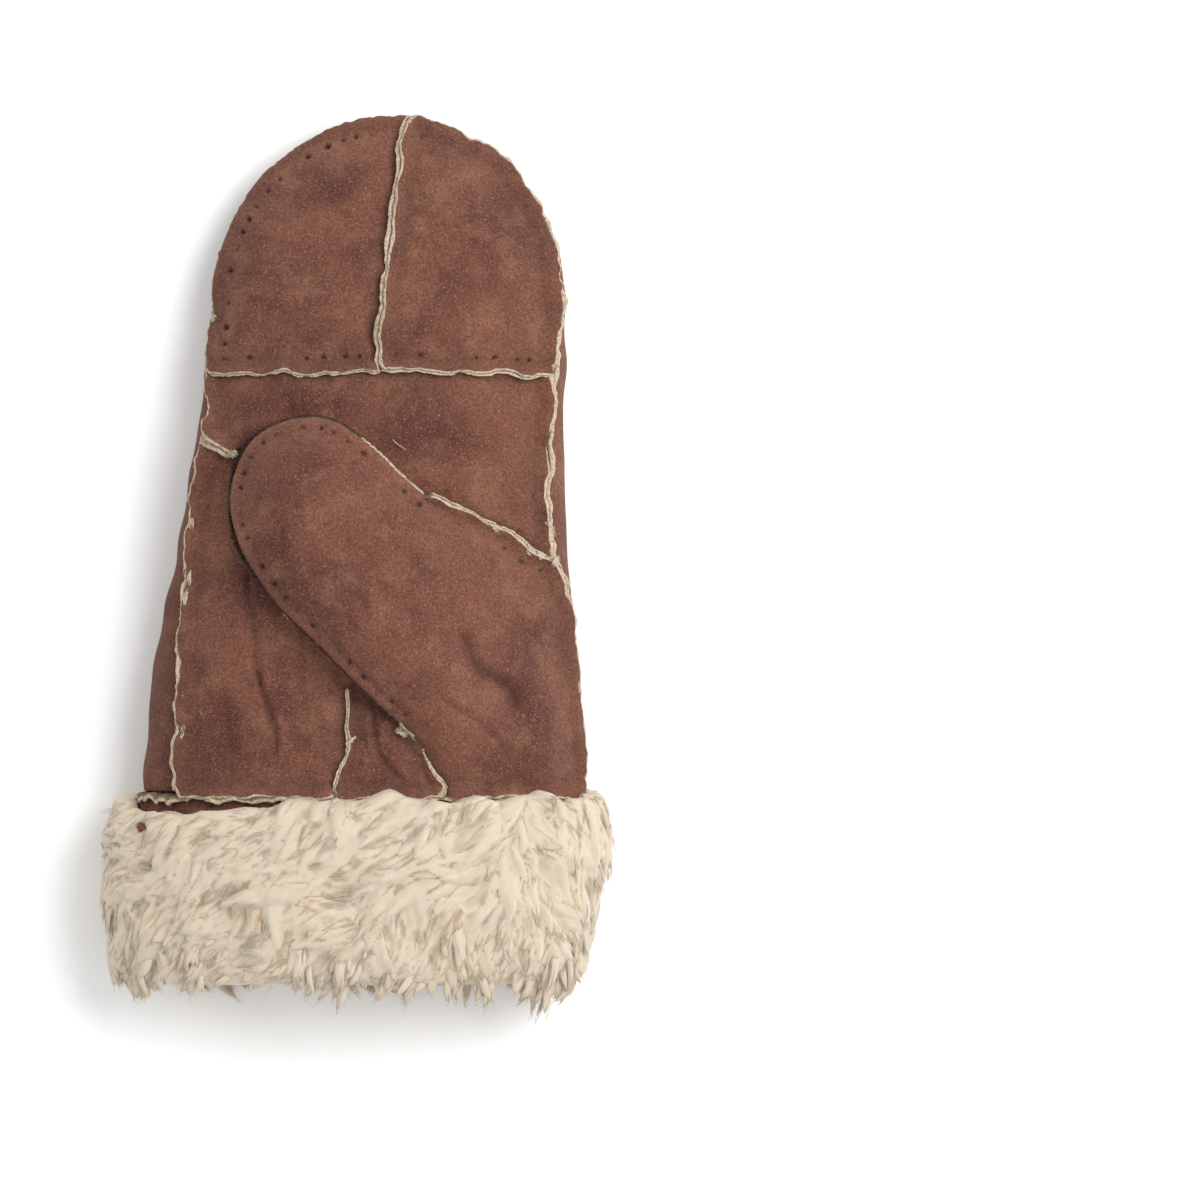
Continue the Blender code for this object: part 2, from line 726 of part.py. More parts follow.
def add_lining(wool):
    """The fleece pocket: two nested skins closed at the fingertips, with a way into the thumb."""
    sides, straight, domed = RING_SIDES // 2, 10, 5
    skins = []
    fit = HIDE + FOLD_DEPTH + LINING_SLACK
    for inset in (fit, fit + LINING_PILE):
        ys = np.linspace(-CUFF_DEPTH, CAP_BASE, straight)
        turn = np.linspace(0, math.pi / 2, domed + 1)[1:-1]
        ys = np.r_[ys, CAP_BASE + (CAP_RISE - inset) * np.sin(turn)]
        rings = [ring_line(y, -inset, sides) for y in ys]
        tip_y = HAND_LENGTH - inset
        tip = np.array([[middle(tip_y), tip_y, rim(tip_y)]])
        skins.append(np.concatenate([*rings, tip]))
    rows = len(ys)
    per_skin = rows * sides + 1
    quads = looped_faces(rows, sides)
    caps = [((rows - 1) * sides + s, (rows - 1) * sides + (s + 1) % sides) for s in range(sides)]
    outer = skins[0]
    centre = outer[np.array(quads)].mean(axis=1)
    low, high = place(*THUMB_FOOT), place(*THUMB_TOP)
    wide = THUMB_WAY * THUMB_WIDTH
    beside_crease = (centre[:, 0] > low[0]) & (centre[:, 0] < high[0] + wide)
    hole = beside_crease & (centre[:, 1] > low[1] + wide) & (centre[:, 1] < high[1])
    hole &= centre[:, 2] > rim(centre[:, 1])
    kept = [quad for quad, open_here in zip(quads, hole) if not open_here]
    faces = [*kept, *((a, b, rows * sides) for a, b in caps)]
    edges = {(f[i], f[(i + 1) % len(f)]) for f in faces for i in range(len(f))}
    wall = [(b, a, a + per_skin, b + per_skin) for a, b in sorted(edges) if (b, a) not in edges]
    inner = [tuple(i + per_skin for i in reversed(f)) for f in faces]
    flipped = [tuple(reversed(f)) for f in [*faces, *inner, *wall]]
    return add_object("fleece_lining", np.concatenate(skins), flipped, wool)


def make_material(name, colour, roughness):
    material = bpy.data.materials.new(name)
    material.use_nodes = True
    shader = material.node_tree.nodes["Principled BSDF"]
    shader.inputs["Base Color"].default_value = (*colour, 1.0)
    shader.inputs["Roughness"].default_value = roughness
    shader.inputs["Metallic"].default_value = 0.0
    return material


def make_suede():
    return make_material("suede", (0.222, 0.078, 0.038), 0.92)


def make_wool(name):
    return make_material(name, (0.66, 0.56, 0.44), 0.95)


def clear_scene():
    for piece in list(bpy.data.objects):
        bpy.data.objects.remove(piece, do_unlink=True)


def centre_on_base():
    """Moves every mesh so that the origin is in the middle of the surface the mitten lies on."""
    meshes = [piece.data for piece in bpy.context.scene.objects]
    corners = np.concatenate([[v.co[:] for v in mesh.vertices] for mesh in meshes])
    low, high = corners.min(axis=0), corners.max(axis=0)
    shift = Matrix.Translation((-(low[0] + high[0]) / 2, -(low[1] + high[1]) / 2, -low[2]))
    for mesh in meshes:
        mesh.transform(shift)


def main():
    clear_scene()
    suede = make_suede()
    add_palm(suede)
    add_thumb(suede)
    add_back(suede)
    add_band("side_band_long", 0.0, STRIP_JOINT - GAP, suede)
    add_band("side_band_short", STRIP_JOINT + GAP, 1.0, suede)
    add_cuff_strip(suede)
    add_cuff_fleece(make_wool("cuff_wool"))
    add_lining(make_wool("lining_wool"))
    centre_on_base()


main()
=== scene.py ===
import math

import bpy
import numpy as np
from bpy.props import FloatProperty, FloatVectorProperty, IntProperty, PointerProperty
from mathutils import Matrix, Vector


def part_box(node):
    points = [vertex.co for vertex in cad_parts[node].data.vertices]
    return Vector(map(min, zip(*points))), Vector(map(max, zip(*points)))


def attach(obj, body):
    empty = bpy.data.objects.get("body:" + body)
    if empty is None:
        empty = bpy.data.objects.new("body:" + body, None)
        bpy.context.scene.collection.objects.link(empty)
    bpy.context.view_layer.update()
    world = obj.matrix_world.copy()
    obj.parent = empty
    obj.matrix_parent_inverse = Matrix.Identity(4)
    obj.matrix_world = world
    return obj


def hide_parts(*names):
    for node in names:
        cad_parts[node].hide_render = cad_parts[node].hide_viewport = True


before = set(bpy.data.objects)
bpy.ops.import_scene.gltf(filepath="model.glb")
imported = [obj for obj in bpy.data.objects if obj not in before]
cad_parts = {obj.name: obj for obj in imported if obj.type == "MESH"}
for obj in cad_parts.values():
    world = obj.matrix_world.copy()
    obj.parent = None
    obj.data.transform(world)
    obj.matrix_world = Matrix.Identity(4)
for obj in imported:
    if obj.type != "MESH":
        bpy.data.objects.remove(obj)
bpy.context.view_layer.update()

bl_info = {
    "name": "Shearling mitten",
    "version": (1, 0, 0),
    "blender": (4, 5, 0),
    "location": "3D View > Sidebar > Mitten",
    "description": "Dresses the packed mitten in napped suede, sewn raw edges and curly fleece",
    "category": "Object",
}

# Hand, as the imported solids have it
HAND_LENGTH = 0.2147
WRIST_WIDTH = 0.1402
CAP_WIDTH = 0.113
CAP_RISE = 0.061
CAP_LEAN = 0.0085
PALM_HEIGHT = 0.045
RIM_SHARE = 0.42
CUFF_LIFT = 0.007
CAP_BASE = HAND_LENGTH - CAP_RISE
ROUNDING = 2.5
BACK_ROUNDING = 4.0
BACK_FLAT = 1.07
BACK_SEAM = 0.93

# Thumb
THUMB_LENGTH = 0.0746
THUMB_WIDTH = 0.0584
THUMB_TURN = math.radians(135.6)
THUMB_CROWN = 0.012
THUMB_EDGE_LIFT = 0.004
HEEL_CROWN = 0.003
THUMB_ROUNDING = 2.4
THUMB_CROWN_REACH = 0.48
THUMB_CORNER = 0.25
SEAM_CORNER = 0.2
HEEL_REACH = 0.8

# Cuff and lining
GAP = 0.0003
CUFF_DEPTH = 0.054
CUFF_PILE = 0.0145
CUFF_BULK = 0.74
LINING_INSET = 0.0045
LINING_PILE = 0.005

# Leather: its thickness, the creases, the row of stitches beside a seam, and the rise of a full ridge
HIDE = 0.0018
FOLD_DEPTH = 0.0016
FOLD_WIDTH = 0.0055
STITCH_ROW = 0.0034
STITCH_SIZE = 0.0009
FULL_RIDGE = 0.0015

# The largest share out from the middle at which the palm seam may lie
OUTERMOST = 0.985

# Steps along seams and along other lines, and how many points are compared with a line at once
SEAM_STEP = 0.0006
LINE_STEP = 0.0008
AT_ONCE = 4000

# The fleece's last row, its grid, and how many of its rows and angles are worked out at once
LAST_ROW = 11
FLEECE_ROWS, FLEECE_TURNS = 130, 700
TILE = (14, 13)

# The photo's size of a pixel in metres, its middle, and the pixel that lies at the hand's origin
PIXEL = 0.00032
PHOTO_MIDDLE = (600, 600)
ORIGIN_PIXEL = (363, 790)


def table(columns, *rows):
    """A short table as a dictionary of columns. The first column is the one that is looked up."""
    return dict(zip(columns.split(), np.array(rows, float).T))


BODY = table(
    "up taper lean height lift",
    (-0.30, 0.74, -0.50, 1.02, 1.00),
    (-0.06, 0.94, -0.20, 1.06, 1.00),
    (0.00, 1.00, 0.00, 1.06, 0.96),
    (0.14, 0.87, 0.05, 1.02, 0.30),
    (0.35, 0.46, 0.34, 1.00, 0.00),
    (0.52, 0.18, 0.64, 0.96, 0.00),
    (0.73, 0.00, 1.00, 0.86, 0.00),
    (1.00, 0.00, 1.00, 0.64, 0.00),
)
PALM_SEAM = table(
    "station out",
    (0.000, 0.814),
    (0.045, 0.820),
    (0.085, 0.845),
    (0.124, 0.872),
    (0.163, 0.906),
    (0.202, 0.915),
    (0.234, 0.905),
    (0.272, 0.950),
    (0.312, 0.970),
    (0.400, 0.985),
    (0.520, 0.985),
    (0.603, 0.972),
    (0.640, 0.954),
    (0.674, 0.935),
    (0.727, 0.920),
    (0.772, 0.897),
    (0.811, 0.885),
    (0.850, 0.910),
    (0.883, 0.962),
    (0.915, 0.985),
    (1.000, 0.985),
)
CAP_SEAM_LEFT = 0.272
CAP_CORNER_LEFT = 0.39
CAP_TOP = 0.514
CAP_CORNER_RIGHT = 0.635
STRIP_JOINT = 0.670
CAP_SEAM_RIGHT = 0.727
MIDDLE_SEAM_LEFT = 0.230
THUMB_SEAM_RIGHT = 0.852

CAP_MIDDLE = ((0.060, 0.879), (0.003, 0.730))
CAP_JUNCTION = (-0.010, 0.629)
MIDDLE_SEAM = ((-0.745, 0.496),)
THUMB_SEAM = ((0.655, 0.383), (0.470, 0.410))
THUMB_TOP = (0.285, 0.437)
THUMB_FOOT = (0.167, 0.101)
THUMB_MIDDLE = (0.2265, 0.269)
WEDGE_TOP = (0.276, 0.283)
WEDGE_SEAM = ((0.062, 0.224), (-0.046, 0.149), (-0.054, 0.075))
WEDGE_END = (-0.106, 0.0)
HEEL_SEAM = ((0.283, 0.045),)
HEEL_END = (0.384, 0.0)
THUMB = table(
    "along upper lower",
    (0.43, 0.98, -0.995),
    (0.56, 0.98, -0.945),
    (0.69, 0.95, -0.860),
    (0.80, 0.885, -0.730),
    (0.89, 0.720, -0.540),
    (0.96, 0.470, -0.280),
)
THUMB_TIP = (1.0, 0.10)
THUMB_LOWER_EDGE = ((0.15, -1.0), (-0.08, -1.01))

# Creases: shares of the half width and of the hand's length at both ends, of the width and of the depth
CREASES = {
    "palm_lower": (
        (-0.617, 0.320, -0.470, 0.170, 0.42, 0.75),
        (-0.480, 0.190, -0.400, 0.062, 0.50, 0.95),
        (-0.36, 0.26, -0.20, 0.06, 0.6, 0.30),
        (-0.66, 0.16, -0.60, 0.03, 0.5, 0.25),
    ),
    "thumb_front": (
        (0.473, 0.224, 0.751, 0.127, 1.3, 1.15),
        (0.600, 0.165, 0.720, 0.130, 0.7, 0.55),
        (0.36, 0.15, 0.62, 0.07, 0.8, 0.45),
        (0.62, 0.27, 0.86, 0.24, 0.6, 0.30),
        (-0.55, 0.432, -0.36, 0.298, 0.5, 0.32),
        (-0.22, 0.34, 0.06, 0.25, 0.8, 0.25),
    ),
    "palm_wedge": ((0.038, 0.112, 0.133, 0.022, 0.55, 0.85),),
    "palm_upper": ((-0.50, 0.575, -0.30, 0.52, 0.7, 0.3), (0.40, 0.53, 0.66, 0.50, 0.7, 0.3)),
    "cap_left": ((-0.72, 0.70, -0.40, 0.66, 0.8, 0.25),),
    "cap_right": ((0.30, 0.68, 0.55, 0.75, 0.8, 0.25),),
}

# How the palm seam's raw edges lie over, in degrees outwards, how wide they are, how high they stand and how
# deep their stitches pull
EDGE_TILT = table(
    "station tilt raw rise pull",
    (0.00, 46, 1.00, 1.00, 0.0),
    (0.06, 42, 1.20, 1.00, 0.1),
    (0.12, 50, 0.65, 0.95, 0.2),
    (0.17, 50, 0.90, 1.00, 0.2),
    (0.23, 44, 1.10, 1.00, 0.2),
    (0.27, 56, 0.65, 0.85, 1.0),
    (0.32, 58, 0.50, 0.60, 1.6),
    (0.38, 72, 0.42, 0.50, 1.8),
    (0.46, 74, 0.42, 0.50, 1.8),
    (0.50, 58, 0.70, 0.75, 1.0),
    (0.56, 42, 0.80, 0.95, 0.3),
    (0.65, 40, 0.90, 1.00, 0.3),
    (0.70, 28, 1.05, 1.00, 0.4),
    (0.78, 12, 0.95, 1.00, 0.4),
    (0.85, 10, 0.90, 1.00, 0.3),
    (0.89, 42, 0.60, 0.90, 0.5),
    (0.93, 60, 0.50, 0.80, 0.6),
    (1.00, 64, 0.50, 0.80, 0.4),
)

# The fleece's section, from its upper edge over the cuff and into the mouth: how far it stands out of the
# hide as a share of its pile, and how far below the hand it is as a share of the cuff's depth
FLEECE = table(
    "row out down",
    (0, 0.14, 0.030),
    (1, 0.58, 0.050),
    (2, 0.88, 0.170),
    (3, 0.99, 0.330),
    (4, 1.02, 0.500),
    (5, 1.00, 0.670),
    (6, 0.94, 0.830),
    (7, 0.80, 0.980),
    (8, 0.52, 1.090),
    (9, 0.12, 1.130),
    (10, -0.38, 1.095),
    (11, -0.96, 1.020),
)

# Half of a sewn ridge in section, from the groove in the middle out to the flat hide: the share of its
# reach, the distance from the groove as a share of the raw edge's width, the height as a share of the
# rise, and how far the cut edge shows
RIDGE = table(
    "share away rise raw",
    (0.00, 0.02, 0.50, 1.0),
    (0.06, 0.14, 0.84, 1.0),
    (0.13, 0.34, 1.00, 1.0),
    (0.22, 0.62, 1.02, 1.0),
    (0.30, 0.88, 0.97, 1.0),
    (0.37, 1.04, 0.86, 0.5),
    (0.45, 1.16, 0.66, 0.0),
    (0.55, 1.38, 0.40, 0.0),
    (0.68, 1.85, 0.16, 0.0),
    (0.82, 2.60, 0.03, 0.0),
    (1.00, 3.60, 0.00, 0.0),
)


def size_setting(name, description, default):
    return FloatProperty(name=name, description=description, default=default, unit="LENGTH")


def colour_setting(name, description, default):
    return FloatVectorProperty(name=name, description=description, default=default, subtype="COLOR")


class SuedeSettings(bpy.types.PropertyGroup):
    hide: size_setting("Hide", "Thickness of the leather", HIDE)
    rise: size_setting("Seam rise", "How far the raw edges stand up", 0.0027)
    raw: size_setting("Raw edge", "Width of each cut edge", 0.0014)
    stitch: size_setting("Stitch", "Distance between stitches", 0.0060)
    colour: colour_setting("Suede", "Main colour", (0.188, 0.074, 0.049))
    dark: colour_setting("Dark suede", "Handled areas", (0.088, 0.031, 0.027))
    # The light suede also gives the painted light on the right side strip.
    light: colour_setting("Light suede", "Worn areas", (0.305, 0.148, 0.090))
    cut: colour_setting("Cut edge", "Cream of the raw edges", (0.55, 0.45, 0.33))
    seed: IntProperty(name="Seed", description="Draw of the seams' waves", default=11)


class FleeceSettings(bpy.types.PropertyGroup):
    lock_length: size_setting("Lock length", "Middle length of a loose lock", 0.0088)
    lock_width: size_setting("Lock width", "Middle width of a loose lock", 0.0036)
    locks: IntProperty(name="Locks", description="Loose locks at the cuff's edges", default=420)
    strands: IntProperty(name="Strands", description="Fine fibres on the cuff", default=3900)
    pale: colour_setting("Pale wool", "Tips of the locks", (0.575, 0.495, 0.392))
    deep: colour_setting("Deep wool", "Shade between the locks", (0.360, 0.270, 0.175))
    seed: IntProperty(name="Seed", description="Draw of the locks", default=5)


class StageSettings(bpy.types.PropertyGroup):
    distance: size_setting("Camera height", "Camera above the surface", 2.6)
    width: size_setting("Framed width", "Width of the picture at the rim's height", 0.384)
    floor: colour_setting("Floor", "Colour of the surface", (0.93, 0.93, 0.93))
    power: FloatProperty(name="Key light", description="Power of the large soft light", default=20.0)
    room: FloatProperty(name="Room light", description="Strength of the white room", default=0.88)


def smooth(rows, column, at):
    """A column's value between its rows, on a cubic whose slope at each row follows its neighbours."""
    x, y = rows[next(iter(rows))], rows[column]
    at = np.clip(at, x[0], x[-1])
    slope = np.gradient(y, x)
    low = np.clip(np.searchsorted(x, at) - 1, 0, len(x) - 2)
    span = x[low + 1] - x[low]
    t = (at - x[low]) / span
    rise = (y[low + 1] - y[low]) * t * t * (3 - 2 * t)
    bend = slope[low] * (t - 2 * t**2 + t**3) + slope[low + 1] * (t**3 - t**2)
    return y[low] + rise + bend * span


def ease(value):
    """0 below 0, 1 above 1 and smooth between."""
    value = np.clip(value, 0.0, 1.0)
    return value * value * (3 - 2 * value)


def bell(value, centre, width):
    """1 at the centre and falling away to both sides as a bell curve."""
    return np.exp(-(((value - centre) / width) ** 2))


def from_ends(run, reach):
    """0 at both ends of a line and 1 from a reach inwards."""
    return ease(np.minimum(run, run[-1] - run) / reach)


def half_width(y):
    extra = (WRIST_WIDTH - CAP_WIDTH) * smooth(BODY, "taper", y / HAND_LENGTH)
    return (CAP_WIDTH + extra) / 2


def middle(y):
    return CAP_LEAN * smooth(BODY, "lean", y / HAND_LENGTH)


def under(y):
    return CUFF_LIFT * np.maximum(smooth(BODY, "lift", y / HAND_LENGTH), 0.0)


def full_height(y):
    return PALM_HEIGHT * smooth(BODY, "height", y / HAND_LENGTH)


def rim(y):
    return under(y) + RIM_SHARE * (full_height(y) - under(y))


def outness(x, y):
    """0 on the hand's middle line and 1 on its outline, an ellipse past the cap's base."""
    across = (x - middle(y)) / half_width(y)
    along = np.maximum(y - CAP_BASE, 0.0) / CAP_RISE
    return np.clip(np.hypot(across, along), 0.0, 1.0)


def top(x, y):
    """The palm side: the rim's height plus a crown that falls to the rim as a rounded superellipse."""
    return rim(y) + (full_height(y) - rim(y)) * np.sqrt(1 - outness(x, y) ** ROUNDING)


def bottom(x, y):
    """The back: the rim's height less a flat-bottomed superellipse."""
    curve = BACK_FLAT * np.sqrt(1 - outness(x, y) ** BACK_ROUNDING)
    return rim(y) - (rim(y) - under(y)) * np.minimum(curve, 1.0)


def ring_point(y, outset, turn):
    """A point round the hand: at one y, outside its outline by outset, at an angle from the +x side."""
    past = np.maximum(y - CAP_BASE, 0.0) / (CAP_RISE + outset)
    reach = (half_width(y) + outset) * np.sqrt(np.maximum(1 - past**2, 0.0))
    x = middle(y) + reach * np.cos(turn)
    out = np.clip(np.hypot((x - middle(y)) / (half_width(y) + outset), past), 0, 1)
    crown = (full_height(y) - rim(y) + outset) * np.sqrt(1 - out**ROUNDING)
    depth = (rim(y) - under(y) + outset) * np.minimum(BACK_FLAT * np.sqrt(1 - out**BACK_ROUNDING), 1.0)
    z = np.where(np.sin(turn) >= 0, rim(y) + crown, np.maximum(rim(y) - depth, 0.0))
    return np.stack(np.broadcast_arrays(x, y, z), axis=-1)


def place(out, up):
    y = np.asarray(up, float) * HAND_LENGTH
    return np.stack([middle(y) + np.asarray(out, float) * half_width(y), y], axis=-1)


def placed(*shares):
    return [place(out, up) for out, up in shares]


def edge_point(station, out):
    """Plan point round the edge: a share of the way round, and a share out from the middle."""
    station, out = np.broadcast_arrays(np.asarray(station, float), np.asarray(out, float))
    arc = math.pi / 2 * (CAP_WIDTH / 2 + CAP_RISE)
    run = station * (2 * CAP_BASE + arc)
    y = np.minimum(np.minimum(run, 2 * CAP_BASE + arc - run), CAP_BASE)
    turn = math.pi * (1 - np.clip((run - CAP_BASE) / arc, 0, 1))
    spine = np.stack([middle(y), y], axis=-1)
    reach = np.stack([half_width(y) * np.cos(turn), CAP_RISE * np.sin(turn)], axis=-1)
    return spine + out[..., None] * reach


def run_of(points):
    return np.r_[0, np.cumsum(np.linalg.norm(np.diff(points, axis=0), axis=1))]


def even(points, step):
    """Points a step apart or a little less along a dense line."""
    run = run_of(points[:, :2])
    at = np.linspace(0, run[-1], max(2, math.ceil(run[-1] / step) + 1))
    return np.stack([np.interp(at, run, axis) for axis in points.T], axis=-1)


def through(points, step=LINE_STEP):
    """An even line on a smooth curve through a few points."""
    points = np.array(points)
    run = run_of(points)
    rows = {"run": run, "x": points[:, 0], "y": points[:, 1]}
    at = np.linspace(0, run[-1], 60 * len(points))
    return even(np.stack([smooth(rows, "x", at), smooth(rows, "y", at)], axis=-1), step)


def thumb_point(along, across):
    ahead = np.array([math.cos(THUMB_TURN), math.sin(THUMB_TURN)])
    aside = np.array([ahead[1], -ahead[0]])
    return place(*THUMB_MIDDLE) + along * THUMB_LENGTH * ahead + across * THUMB_WIDTH / 2 * aside


def thumb_free_edge():
    """Round the free thumb, from its upper corner over the tip to its lower corner."""
    upper = [thumb_point(a, u) for a, u in zip(THUMB["along"], THUMB["upper"])]
    lower = [thumb_point(a, w) for a, w in zip(THUMB["along"], THUMB["lower"])]
    edge = [thumb_point(*p) for p in THUMB_LOWER_EDGE]
    tip = [thumb_point(*THUMB_TIP)]
    return through([place(*THUMB_TOP), *upper, *tip, *lower[::-1], *edge, place(*THUMB_FOOT)])


def ripple(at, lengths, seed):
    """Sum of sines of the given wavelengths with seeded phases, about -1 to 1."""
    phase = np.random.default_rng(seed).uniform(0, 2 * math.pi, len(lengths))
    waves = [np.sin(2 * math.pi * at / length + p) for length, p in zip(lengths, phase)]
    return sum(waves) / math.sqrt(len(lengths))


def lumps(points, size, seed, waves=11):
    """Smooth random height over plan or space points: sines of about one size in seeded directions."""
    random = np.random.default_rng(seed)
    ways = random.normal(size=(waves, points.shape[-1]))
    ways /= np.linalg.norm(ways, axis=1, keepdims=True)
    ways *= 2 * math.pi / size * random.uniform(0.6, 1.5, (waves, 1))
    phase = random.uniform(0, 2 * math.pi, waves)
    return np.sin(points @ ways.T + phase).sum(-1) / math.sqrt(waves / 2)


def unit(vectors):
    return vectors / np.maximum(np.linalg.norm(vectors, axis=-1, keepdims=True), 1e-12)


def nearest(points, line):
    """For each plan point the distance to the nearest sample of a line and that sample's number."""
    away, which = np.empty(len(points)), np.empty(len(points), int)
    for start in range(0, len(points), AT_ONCE):
        part = slice(start, start + AT_ONCE)
        square = ((points[part, None] - line[None]) ** 2).sum(-1)
        which[part], away[part] = square.argmin(1), np.sqrt(square.min(1))
    return away, which


def segment_distance(points, start, end):
    run = end - start
    share = np.clip((points - start) @ run / (run @ run), 0, 1)
    return np.linalg.norm(points - start - share[:, None] * run, axis=1)


# A seam is an array with one row a sample: plan x and y, rise, raw width, tilt, free edge, run, the way to
# its left along the hide, the way out of the hide and how deep its stitches pull, then for the palm seam
# its station and its place out
RISE, RAW, TILT, FREE, RUN = 2, 3, 4, 5, 6
ASIDE, UP = slice(7, 10), slice(10, 13)
PULL, STATION, OUT = 13, 14, 15


def sewn(line, seed, tilt=0.0, rise=1.0, wave=0.0006, free=0.0, height=None):
    """A seam along a plan line, drawn aside by slow waves that fade at its ends."""
    line = even(line, SEAM_STEP)
    run = run_of(line)
    aside = unit(np.gradient(line, axis=0))[:, ::-1] * (-1, 1)
    wander = wave * ripple(run, (0.043, 0.027, 0.015), seed) * from_ends(run, 0.008)
    return seam_rows(line + aside * wander[:, None], run, seed, tilt, rise, free, height or palm_height)


def seam_rows(line, run, seed, tilt, rise, free, height):
    """A seam's columns: its ridge swells between stitches, and its tilt and raw edges vary by slow waves."""
    suede = bpy.context.scene.mitten_suede
    pinch = stitch_pull(run, seed)
    tall = suede.rise * (1.0 + 0.12 * ripple(run, (0.027, 0.0113), seed + 2) - 0.12 * pinch)
    width = suede.raw * (1.0 + 0.22 * ripple(run, (0.031, 0.0133), seed + 3) - 0.08 * pinch)
    sway = math.radians(9) * ripple(run, (0.043, 0.021, 0.0117), seed + 4)
    up = surface_normals(line, height)
    ahead = np.gradient(line, axis=0)
    flat = np.column_stack([-ahead[:, 1], ahead[:, 0], 0 * run])
    aside = unit(flat - up * (flat * up).sum(1, keepdims=True))
    free, pull = np.full_like(run, free), np.ones_like(run)
    return np.column_stack([line, rise * tall, width, tilt + sway, free, run, aside, up, pull])


def stitch_pull(run, seed):
    """1 at each stitch and 0 half way between, at slightly uneven distances."""
    suede = bpy.context.scene.mitten_suede
    uneven = ripple(run, (0.05, 0.023), seed + 1)
    return 0.5 + 0.5 * np.cos(2 * math.pi * run / suede.stitch + uneven)


def surface_normals(points, height):
    """Upward normals of a height over plan points, by small steps to either side."""
    step = 1e-4
    ways = (step, 0.0), (0.0, step)
    slopes = [(height(points + way) - height(points - way)) / (2 * step) for way in ways]
    return unit(np.column_stack([-slopes[0], -slopes[1], np.ones(len(points))]))


def palm_seam():
    """The whole seam round the palm patches; its wander moves it in or out along its station's ray."""
    seed = bpy.context.scene.mitten_suede.seed
    station = np.linspace(0, 1, 1101)
    out = smooth(PALM_SEAM, "out", station)
    run = run_of(edge_point(station, out))
    wander = 0.0005 * ripple(run, (0.047, 0.029, 0.017), seed)
    out = np.minimum(out + wander / (CAP_WIDTH / 2), OUTERMOST)
    tilt = np.radians(smooth(EDGE_TILT, "tilt", station))
    rows = seam_rows(edge_point(station, out), run, seed, tilt, 1.0, 0.0, palm_height)
    for column, label in ((RAW, "raw"), (RISE, "rise"), (PULL, "pull")):
        rows[:, column] *= smooth(EDGE_TILT, label, station)
    return np.column_stack([rows, station, out])


def thumb_seam(end):
    """Points of the seam from the thumb's upper corner to the palm seam."""
    return [place(*THUMB_TOP), *placed(*THUMB_SEAM[::-1]), end]


def stretch(seam, start, end):
    """The part of the palm seam between two stations."""
    low, high = np.searchsorted(seam[:, STATION], (start, end))
    return seam[low : high + 1, :STATION]


def seams():
    """Every seam of the palm side by name.

    Its tilt is the way that its raw edges lie over, in degrees to its left. After it come the shares of its
    rise, of its raw edges' width and of its stitches' pull, and how far it wanders.
    """
    seed = bpy.context.scene.mitten_suede.seed
    edge = palm_seam()
    stations = (0.0, CAP_SEAM_LEFT, CAP_TOP, CAP_SEAM_RIGHT, MIDDLE_SEAM_LEFT, THUMB_SEAM_RIGHT, 1.0)
    at = {s: edge[np.searchsorted(edge[:, STATION], s - 1e-9), :2] for s in stations}
    junction, wedge_end, heel_end, thumb_top = placed(CAP_JUNCTION, WEDGE_END, HEEL_END, THUMB_TOP)
    cap_middle, middle_seam = placed(*CAP_MIDDLE[::-1]), placed(*MIDDLE_SEAM)
    lines = {
        "cap_middle": ([junction, *cap_middle, at[CAP_TOP]], 38, 1.0, 1.08, 0.35, 0.0003),
        "cap_left": ([at[CAP_SEAM_LEFT], junction], -52, 1.0, 0.60, 1.0, 0.0006),
        "cap_right": ([junction, at[CAP_SEAM_RIGHT]], -42, 1.0, 0.66, 0.9, 0.0006),
        "middle": ([at[MIDDLE_SEAM_LEFT], *middle_seam, thumb_top], -25, 1.0, 1.20, 0.3, 0.0006),
        "thumb": (thumb_seam(at[THUMB_SEAM_RIGHT]), 24, 0.85, 0.62, 0.9, 0.0006),
        "crease_upper": (placed(WEDGE_TOP, THUMB_TOP), 0, 0.0, 1.0, 0.0, 0.0),
        "crease_lower": (placed(WEDGE_TOP, THUMB_FOOT), 0, 0.0, 1.0, 0.0, 0.0),
        "wedge": (placed(WEDGE_END, *WEDGE_SEAM[::-1], WEDGE_TOP), 30, 0.75, 0.55, 0.5, 0.0006),
        "heel": (placed(HEEL_END, *HEEL_SEAM, THUMB_FOOT), -28, 0.75, 0.50, 0.4, 0.0006),
        "cuff_left": ([at[0.0], wedge_end], -48, 1.1, 1.0, 0.0, 0.0),
        "cuff_wedge": ([wedge_end, heel_end], -48, 1.1, 1.0, 0.0, 0.0),
        "cuff_heel": ([heel_end, at[1.0]], -48, 1.1, 1.0, 0.0, 0.0),
    }
    found = {"edge": edge, "free": sewn(thumb_free_edge(), seed + 90, 0.0, 0.0, 0.0, 1.0)}
    for count, (name, (points, tilt, rise, raw, pull, wave)) in enumerate(lines.items()):
        found[name] = sewn(through(points), seed + 10 * count, math.radians(tilt), rise, wave)
        found[name][:, RAW] *= raw
        found[name][:, PULL] *= pull
    for name in ("middle", "wedge"):
        found[name][:, RISE] *= 1 - hidden_by_thumb(found[name][:, :2], found["free"][:, :2])
    return found


def hidden_by_thumb(points, free):
    """1 under the thumb and 0 a little way off it."""
    loop = np.concatenate([free, placed(WEDGE_TOP)])
    a, b = loop, np.roll(loop, -1, axis=0)
    x, y = points[:, :1], points[:, 1:]
    spans = (a[:, 1] > y) != (b[:, 1] > y)
    climb = np.where(b[:, 1] == a[:, 1], 1, b[:, 1] - a[:, 1])
    cross = a[:, 0] + (y - a[:, 1]) * (b[:, 0] - a[:, 0]) / climb
    inner = (spans & (x < cross)).sum(axis=1) % 2 == 1
    return np.where(inner, 1.0, 1 - ease(nearest(points, free)[0] / 0.003 - 0.3))


